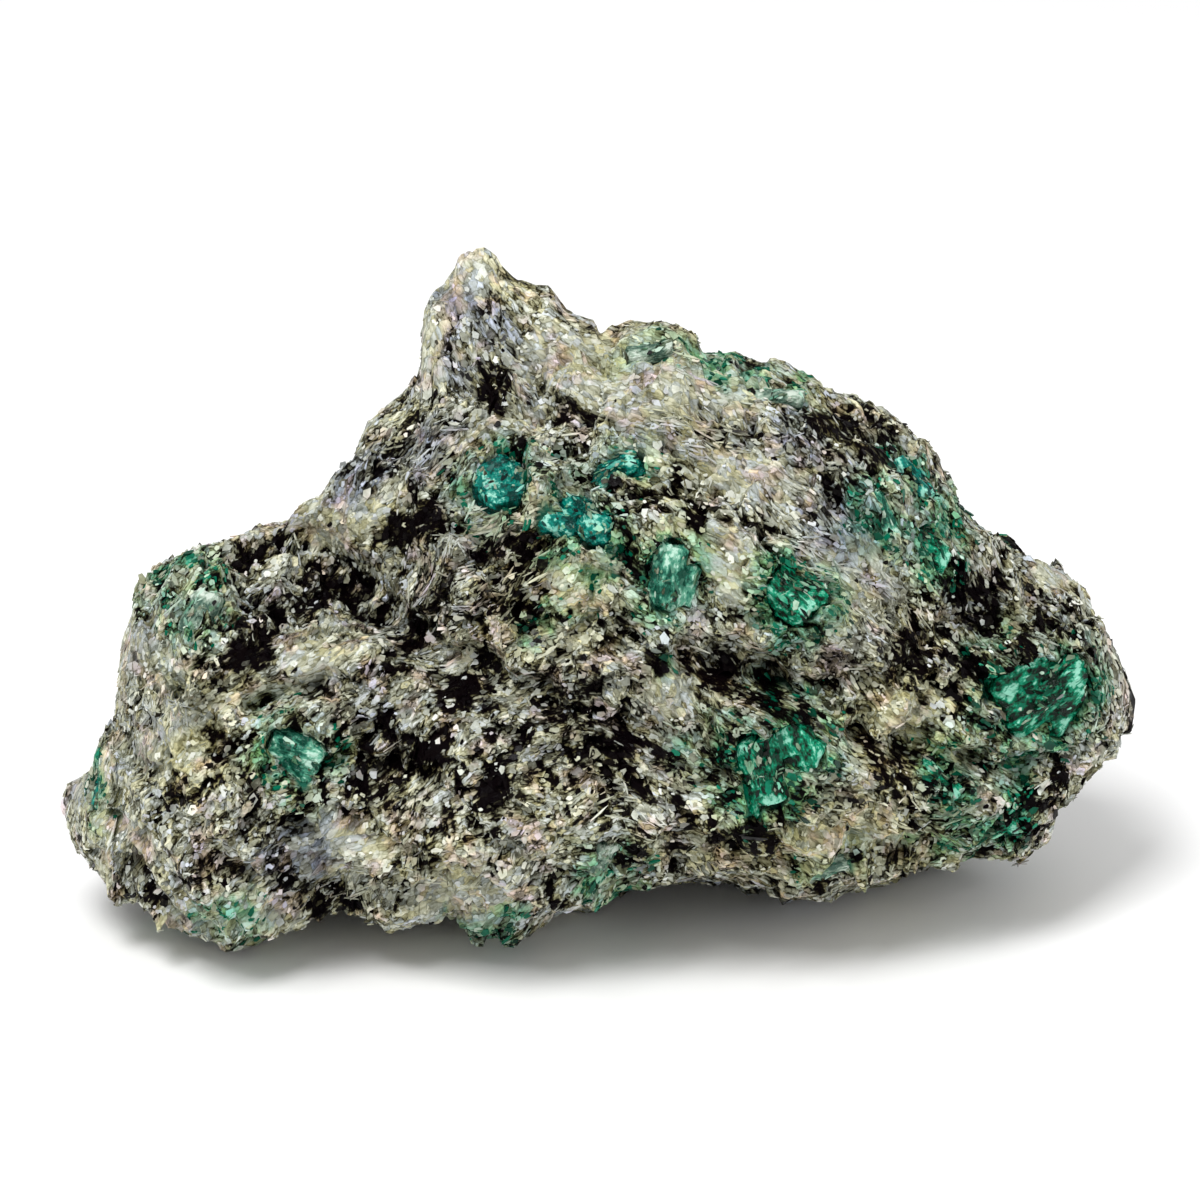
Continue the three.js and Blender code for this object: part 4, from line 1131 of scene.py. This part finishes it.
# %% Shader helper
class Tone:
    """A socket in a finish's node tree."""

    def __init__(self, tree, socket=None):
        self.tree, self.socket = tree, socket

    def node(self, kind, settings={}, sockets={}, out=0):
        """A new node: settings first, then values or links for its sockets; gives one of its outputs."""
        made = self.tree.nodes.new(kind)
        for name, value in settings.items():
            setattr(made, name, value)
        for name, value in sockets.items():
            if isinstance(value, Tone):
                self.tree.links.new(value.socket, made.inputs[name])
            else:
                made.inputs[name].default_value = value
        return Tone(self.tree, made.outputs[out])

    def maths(self, operation, first, second):
        return self.node("ShaderNodeMath", {"operation": operation}, {0: first, 1: second})

    def __add__(self, other):
        return self.maths("ADD", self, other)

    def __sub__(self, other):
        return self.maths("SUBTRACT", self, other)

    def __rsub__(self, other):
        return self.maths("SUBTRACT", other, self)

    def __mul__(self, other):
        return self.maths("MULTIPLY", self, other)

    __radd__ = __add__

    def vector(self, operation, *values):
        """Vector maths on up to three vectors."""
        return self.node("ShaderNodeVectorMath", {"operation": operation}, dict(enumerate(values)))

    def clamped(self, low, high):
        """The value carried from low..high to 0..1 and held there."""
        return self.node("ShaderNodeMapRange", {"clamp": True}, {0: self, 1: low, 2: high, 3: 0.0, 4: 1.0})

    def ramp(self, *stops):
        """Colours by value, blended between stops of a place and a colour."""
        found = self.node("ShaderNodeValToRGB", {}, {0: self})
        elements = found.socket.node.color_ramp.elements
        while len(elements) < len(stops):
            elements.new(1)
        for element, (place, colour) in zip(elements, stops):
            element.position, element.color = place, (*colour, 1)
        return found

    def mixed(self, first, second, blend="MIX"):
        """Two colours mixed by this value."""
        sockets = {0: self, 6: first, 7: second}
        return self.node("ShaderNodeMix", {"data_type": "RGBA", "blend_type": blend}, sockets, out=2)

    def times(self, colour):
        """Two colours multiplied."""
        sockets = {0: 1.0, 6: colour, 7: self}
        return self.node("ShaderNodeMix", {"data_type": "RGBA", "blend_type": "MULTIPLY"}, sockets, out=2)

    def part(self, channel):
        """One channel of a colour."""
        return self.node("ShaderNodeSeparateColor", {}, {0: self}, out=channel)

    def noise(self, where, scale, detail, rough=0.5, out=0):
        sockets = {"Vector": where, "Scale": scale, "Detail": detail, "Roughness": rough}
        return self.node("ShaderNodeTexNoise", {}, sockets, out)

    def cells(self, where, scale, out="Color", **settings):
        """Random cells: the colour of each of them, or another output of the texture."""
        return self.node("ShaderNodeTexVoronoi", settings, {"Vector": where, "Scale": scale}, out)

    def bump(self, strength, distance, **sockets):
        """A normal from this value as a height."""
        sockets = {"Strength": strength, "Distance": distance, "Height": self, **sockets}
        return self.node("ShaderNodeBump", {}, sockets)

    def read(self, name, out=2):
        """A piece's own value by name: a number, or a vector at output 1."""
        return self.node("ShaderNodeAttribute", {"attribute_name": name}, out=out)


print("shader helper with", len([name for name in vars(Tone) if name[0] != "_"]), "named steps")

# %% [markdown]
# ## Starting a finish
# Each finish is one Principled shader. Patterns start from the place on the object, and are linked to the
# shader's sockets together with its plain values.

# %% Starting a finish
def new_finish(name):
    """A material with its Principled shader, a Tone to start patterns from, and Object coordinates."""
    material = bpy.data.materials.new(name)
    material.use_nodes = True
    start = Tone(material.node_tree)
    shader = material.node_tree.nodes["Principled BSDF"]
    return material, shader, start, start.node("ShaderNodeTexCoord", out=3)


def feed(shader, **sockets):
    """Links patterns to a shader's sockets and sets its plain values."""
    for name, value in sockets.items():
        socket = shader.inputs[name.replace("_", " ")]
        if isinstance(value, Tone):
            value.tree.links.new(value.socket, socket)
        else:
            socket.default_value = value


def on_ground(values):
    """Values of the grid with one more for each closing tip."""
    return np.append(values.ravel(), [0, 0])


ground_values = {**shares, "pocket": pocket, "crack": crack, "lie": lie_of(ground_mm)}
for kind, values in ground_values.items():
    add_value(ground, kind, on_ground(values))
print("values on the ground:", list(ground_values))

# %% [markdown]
# ## Colours of mica
# All mica shares one ramp from black through grey-green to silver. Single places turn rosy, and brown, slate
# and green tints multiply the colour, so that dark mica stays dark under them. Brown and green are stain; the
# slate blue is a tint, and on the horn's left face partly painted shade.

# %% Ramp, stains and painted shade of mica
MICA_RAMP = [
    (0.27, (0.0018, 0.0007, 0.0012)), (0.35, (0.0065, 0.0052, 0.0035)), (0.42, (0.050, 0.047, 0.026)),
    (0.50, (0.15, 0.15, 0.105)), (0.58, (0.26, 0.266, 0.20)), (0.66, (0.385, 0.40, 0.325)),
    (0.75, (0.53, 0.55, 0.475)), (0.88, (0.74, 0.76, 0.70)),
]
ROSY = (1.13, 0.92, 0.97, 1)
ROSY_SCALE, ROSY_FROM, ROSY_FULL = 420.0, 0.51, 0.69
# brown and green are stain; slate blue is a tint, on the horn's left face partly painted shade
STAINS_AND_SHADE = {"brown": (0.7, (1.0, 0.95, 0.70, 1)), "slate": (0.85, (0.65, 0.695, 0.96, 1)),
          "green": (0.8, (0.15, 0.72, 0.46, 1))}  # strength, and the colour that multiplies the mica's


def tinted(colour, start, where):
    """A colour turned faintly rosy in places by noise, then towards brown and green stain and towards slate
    blue, which on the horn's left face is partly painted shade.
    """
    rosy = start.noise(where, ROSY_SCALE, 2.0).clamped(ROSY_FROM, ROSY_FULL)
    colour = rosy.mixed(colour, ROSY, "MULTIPLY")
    for kind, (strength, stain) in STAINS_AND_SHADE.items():
        colour = (start.read(kind) * strength).mixed(colour, stain, "MULTIPLY")
    return colour


print("mica runs over", len(MICA_RAMP), "stops, with stains", list(STAINS_AND_SHADE))

# %% [markdown]
# ## Schist finish
# Seen close, the broken plates are a mosaic of mica: silver and beige plates with black gaps, flecks and
# silky threads, all drawn out along the mica. The black along the borders of plates, in cracks and in dark
# patches is partly dark mica and partly painted shade, and pale places are partly painted light. In the
# finish the face is first laid out flat in millimetres, turned by the lie of each stretch, and drawn together
# along it. Random cells then give every plate a tone, a hue and a facet of its own, as plates of mica catch
# the light one by one. Brown and green stain and the slate tint, partly painted shade on the horn, come from
# the patches.

# %% Schist finish
PLATE_SCALE, FLECK_SCALE = 1.8, 3.6  # cells in a millimetre
SILKY = (0.16, 1.3, 1.0)  # threads are drawn out further than plates
WARM, COOL = (1.06, 0.99, 0.75, 1), (0.93, 0.98, 1.15, 1)  # hues of single plates
POCKET_SHADE = (0.015, 0.10, 0.065, 1)  # dark green painted shade in the pockets under the crystals
FACET = 0.6  # how far plates face away from the surface
# how much darker: dark patches and cracks partly as painted shade, slate partly as painted shade on the horn
DARKER = {"dark": 0.40, "crack": 0.44, "slate": 0.08}

schist, shader, start, where = new_finish("schist_ground")
flat_face = start.node("ShaderNodeMapping", {}, {
    "Vector": where, "Rotation": (LEAN - np.pi / 2, 0, 0), "Scale": (1000, 1000, 1000)})
turned_back = 0 - start.maths("SNAP", start.read("lie"), LIE_STEP)
laid = start.node("ShaderNodeVectorRotate", {"rotation_type": "Z_AXIS"},
                  {"Vector": flat_face, "Angle": turned_back})
wobble = start.noise(laid, 0.9, 2.0, out="Color")
drawn = start.vector("MULTIPLY_ADD", wobble, (0.9, 0.9, 0.9), start.vector("MULTIPLY", laid, tuple(DRAWN)))
plates = start.cells(drawn, PLATE_SCALE)
rims = start.cells(drawn, PLATE_SCALE, out="Distance", feature="DISTANCE_TO_EDGE")
plate, hue, fleck = plates.part(0), plates.part(1), start.cells(drawn, FLECK_SCALE).part(0)
threads = start.noise(start.vector("MULTIPLY", laid, SILKY), 2.6, 3.0, 0.65)
lumpy = start.noise(flat_face, 0.35, 2.0, 0.55)
varied = plate * 0.30 + fleck * 0.24 + threads * 0.75 + lumpy * 0.45 - 0.87
# pale places lighter, partly painted light on shelves and knuckles
tone = 0.637 + varied * (1 - start.read("pale") * 0.5) + start.read("pale") * 0.07
# dark patches, cracks and slate darker, partly painted shade
for kind, darker in DARKER.items():
    tone = tone - start.read(kind) * darker
# painted shade along the borders of plates, less of it in pale places
tone = tone - (1 - rims.clamped(0.0, 0.13)) * (1 - start.read("pale") * 0.4) * 0.16
colour = hue.mixed(WARM, COOL).times(tone.ramp(*MICA_RAMP))
# the pockets take a dark green painted shade
with_pocket_shade = start.read("pocket").clamped(0.4, 0.9).mixed(tinted(colour, start, where), POCKET_SHADE)
facing = start.vector("ADD", start.node("ShaderNodeNewGeometry", out="Normal"), (-FACET / 2,) * 3)
facing = start.vector("NORMALIZE", start.vector("MULTIPLY_ADD", plates, (FACET,) * 3, facing))
bumped = (threads + plate * 0.5).bump(0.6, 0.00025, Normal=facing)
feed(shader, Base_Color=with_pocket_shade, Roughness=0.66 - hue * 0.34, Normal=bumped, Specular_IOR_Level=0.03)
ground.data.materials.append(schist)
print("schist finish on", ground.name)

# %% [markdown]
# ## Mica finishes
# Scales run from black through grey-green to silver by their own tone, on the same ramp as the ground. Mica
# splits to mirror-smooth faces, so the scales are fairly glossy, and black mica most of all.

# %% Mica finishes
MICA_SPECKLE = 1800.0  # specks in a metre
MICAS = {  # roughness, gloss, pieces
    "silver_mica": (0.25, 0.4, [silver_scales]), "grey_mica": (0.30, 0.25, [grey_scales, crumbs]),
    "black_mica": (0.15, 0.05, [black_scales]), "white_fibre": (0.30, 0.4, [white_fibres]),
}


def mica(name, roughness, gloss):
    """A finish for scales: a ramp over their tone with fine noise, tinted by their stains."""
    material, shader, start, where = new_finish(name)
    speckle = start.noise(where, MICA_SPECKLE, 3.0, 0.65)
    colour = (start.read("tone") + speckle * 0.4 - 0.2).ramp(*MICA_RAMP)
    feed(shader, Base_Color=tinted(colour, start, where), Roughness=roughness + speckle * 0.3,
         Normal=speckle.bump(0.4, 0.0002), Specular_IOR_Level=gloss)
    return material


for name, (roughness, gloss, pieces) in MICAS.items():
    material = mica(name, roughness, gloss)
    for piece in pieces:
        piece.data.materials.append(material)
print("mica finishes:", list(MICAS))

# %% [markdown]
# ## Emerald finishes
# Beryl is a clear mineral, made green by a trace of chromium. These crystals are clouded by veils and
# cleavage, so they let light through but also scatter some back. Transmission, the index of beryl and green
# absorption do the first; a body colour with streaks along each crystal's length does the second.

# %% Emerald finishes
EMERALD_STOPS = (0.16, 0.42, 0.66, 0.92)
EMERALD_GREENS = {  # shadow, body, lit face and veil
    "deep": ((0.000, 0.035, 0.028), (0.000, 0.140, 0.110), (0.002, 0.255, 0.195), (0.32, 0.72, 0.58)),
    "bright": ((0.000, 0.008, 0.003), (0.000, 0.115, 0.053), (0.002, 0.295, 0.158), (0.30, 0.70, 0.53)),
    "milky": ((0.004, 0.065, 0.040), (0.035, 0.215, 0.140), (0.13, 0.40, 0.27), (0.52, 0.78, 0.64)),
    "coat": ((0.06, 0.12, 0.09), (0.19, 0.28, 0.215), (0.34, 0.44, 0.35), (0.60, 0.69, 0.60)),
}
BERYL_INDEX, TRANSMISSION = 1.577, 0.16
ABSORPTION, DENSITY = (0.06, 0.75, 0.50, 1), 300.0


def emerald(name, greens):
    """Clouded green beryl: streaks stretched along the crystal, thin pale veils, plain absorption inside."""
    material, shader, start, where = new_finish(name)
    grain = start.read("grain", out=1)
    drawn = start.vector("MULTIPLY", grain, (1.0, 0.45, 1.0))
    clouds = start.noise(grain, 0.5, 3.0, 0.6)
    streaks = start.noise(drawn, 1.5, 4.0, 0.68)
    fine = start.noise(drawn, 5.0, 2.0)
    light = clouds * 3.0 + streaks * 2.4 + fine * 0.6 - 2.60
    bumped = (streaks + fine * 0.5).bump(0.5, 0.0005)
    feed(shader, Base_Color=light.ramp(*zip(EMERALD_STOPS, greens)), Normal=bumped,
         Roughness=0.10 + light.clamped(0.5, 1.0) * 0.3,
         Transmission_Weight=TRANSMISSION, IOR=BERYL_INDEX, Specular_IOR_Level=0.06)
    absorb = start.node("ShaderNodeVolumeAbsorption", {}, {"Color": ABSORPTION, "Density": DENSITY})
    material.node_tree.links.new(absorb.socket, material.node_tree.nodes["Material Output"].inputs["Volume"])
    return material


emeralds = {name: emerald("emerald_" + name, greens) for name, greens in EMERALD_GREENS.items()}
for (*placing, finish, prisms), piece in zip(EMERALDS, crystals):
    piece.data.materials.append(emeralds[finish])
print("emerald finishes:", sorted(emeralds))

# %% [markdown]
# ## Splinter finish
# Splinters and grains are too small for inner streaks, so their greens follow their own tone: plain green on
# the schist and the bright crystals, teal on the deep ones, and milky on the pale ones.

# %% Splinter finish
SPLINTER_STOPS = (0.0, 0.4, 0.75, 1.0)
SPLINTER_GREENS = [  # plain, teal and milky, from shadow to edge
    ((0, 0.006, 0.003), (0, 0.07, 0.036), (0.003, 0.20, 0.11), (0.20, 0.54, 0.37)),
    ((0, 0.009, 0.008), (0, 0.085, 0.068), (0.006, 0.21, 0.162), (0.28, 0.60, 0.49)),
    ((0.01, 0.05, 0.034), (0.06, 0.19, 0.125), (0.19, 0.37, 0.275), (0.48, 0.64, 0.53)),
]
BERYL_SPECKLE = 900.0  # specks in a metre

material, shader, start, where = new_finish("emerald_splinters")
speckle = start.noise(where, BERYL_SPECKLE, 4.0, 0.6)
depth = (start.read("tone") + speckle * 0.5 - 0.25).clamped(0.2, 0.85)
green, teal, milk = [depth.ramp(*zip(SPLINTER_STOPS, greens)) for greens in SPLINTER_GREENS]
colour = start.read("milk").mixed(start.read("teal").mixed(green, teal), milk)
feed(shader, Base_Color=colour, Roughness=0.12 + speckle * 0.2, Specular_IOR_Level=0.2)
for piece in (green_grains, splinters):
    piece.data.materials.append(material)
print("splinter finish on", green_grains.name, "and", splinters.name)

# %% [markdown]
# ## Floor
# The specimen stands on a plain white floor, wide enough that its edge never shows.

# %% Floor
FLOOR_HALF = 4.0
floor_mesh = bpy.data.meshes.new("floor")
floor_corners = FLOOR_HALF * np.array([[-1, -1, 0], [1, -1, 0], [1, 1, 0], [-1, 1, 0]])
floor_mesh.from_pydata(floor_corners.tolist(), [], [(0, 1, 2, 3)])
floor = add_object("floor", floor_mesh)
white, shader, start, where = new_finish("white_floor")
feed(shader, Base_Color=(0.9, 0.9, 0.9, 1), Roughness=0.8)
floor_mesh.materials.append(white)
print("floor:", 2 * FLOOR_HALF, "m wide")

# %% [markdown]
# ## Light
# Soft studio light: a broad lamp above and in front, a weaker one from the other side, and an even white sky
# that keeps the shadows open. A single hard lamp would blacken the clefts.

# %% Lamps and sky
LAMPS = {"key_lamp": ((-0.22, -0.40, 0.80), 0.35, 7.0), "side_lamp": ((0.70, -0.30, 0.35), 0.5, 1.5)}
LIT_POINT = Vector((0, 0, 0.03))  # the middle of the stone
SKY_STRENGTH = 0.65

for name, (place, size, power) in LAMPS.items():
    lamp = bpy.data.lights.new(name, "AREA")
    lamp.size, lamp.energy = size, power
    holder = add_object(name, lamp)
    holder.location = place
    holder.rotation_euler = (LIT_POINT - holder.location).to_track_quat("-Z", "Y").to_euler()
sky = bpy.data.worlds.new("sky")
sky.use_nodes = True
sky.node_tree.nodes["Background"].inputs["Color"].default_value = (1, 1, 1, 1)
sky.node_tree.nodes["Background"].inputs["Strength"].default_value = SKY_STRENGTH
bpy.context.scene.world = sky
bpy.context.scene.view_settings.view_transform = "Standard"
print("lamps:", list(LAMPS))

# %% [markdown]
# ## Camera
# The camera looks square at the leaning face through a long lens, so far away that the picture is 108 mm wide
# at the stone's rim. The rim then has the size and place that it has in the photograph.

# %% Camera
FRAME_WIDTH = 0.108  # of the picture at the stone's rim
AIM = [0.0, 31.05, 0.0]  # on the face, in millimetres
LENS, SENSOR, FARTHEST = 200.0, 36.0, 20.0
away = FRAME_WIDTH * LENS / SENSOR
camera_data = bpy.data.cameras.new("camera")
camera_data.lens, camera_data.sensor_width, camera_data.clip_end = LENS, SENSOR, FARTHEST
camera = add_object("camera", camera_data)
camera.location = Vector(to_row(AIM)) + away * Vector((0, -np.cos(LEAN), np.sin(LEAN)))
camera.rotation_euler = (np.pi / 2 - LEAN, 0, 0)
bpy.context.scene.camera = camera
print("camera at", [round(c, 3) for c in camera.location])
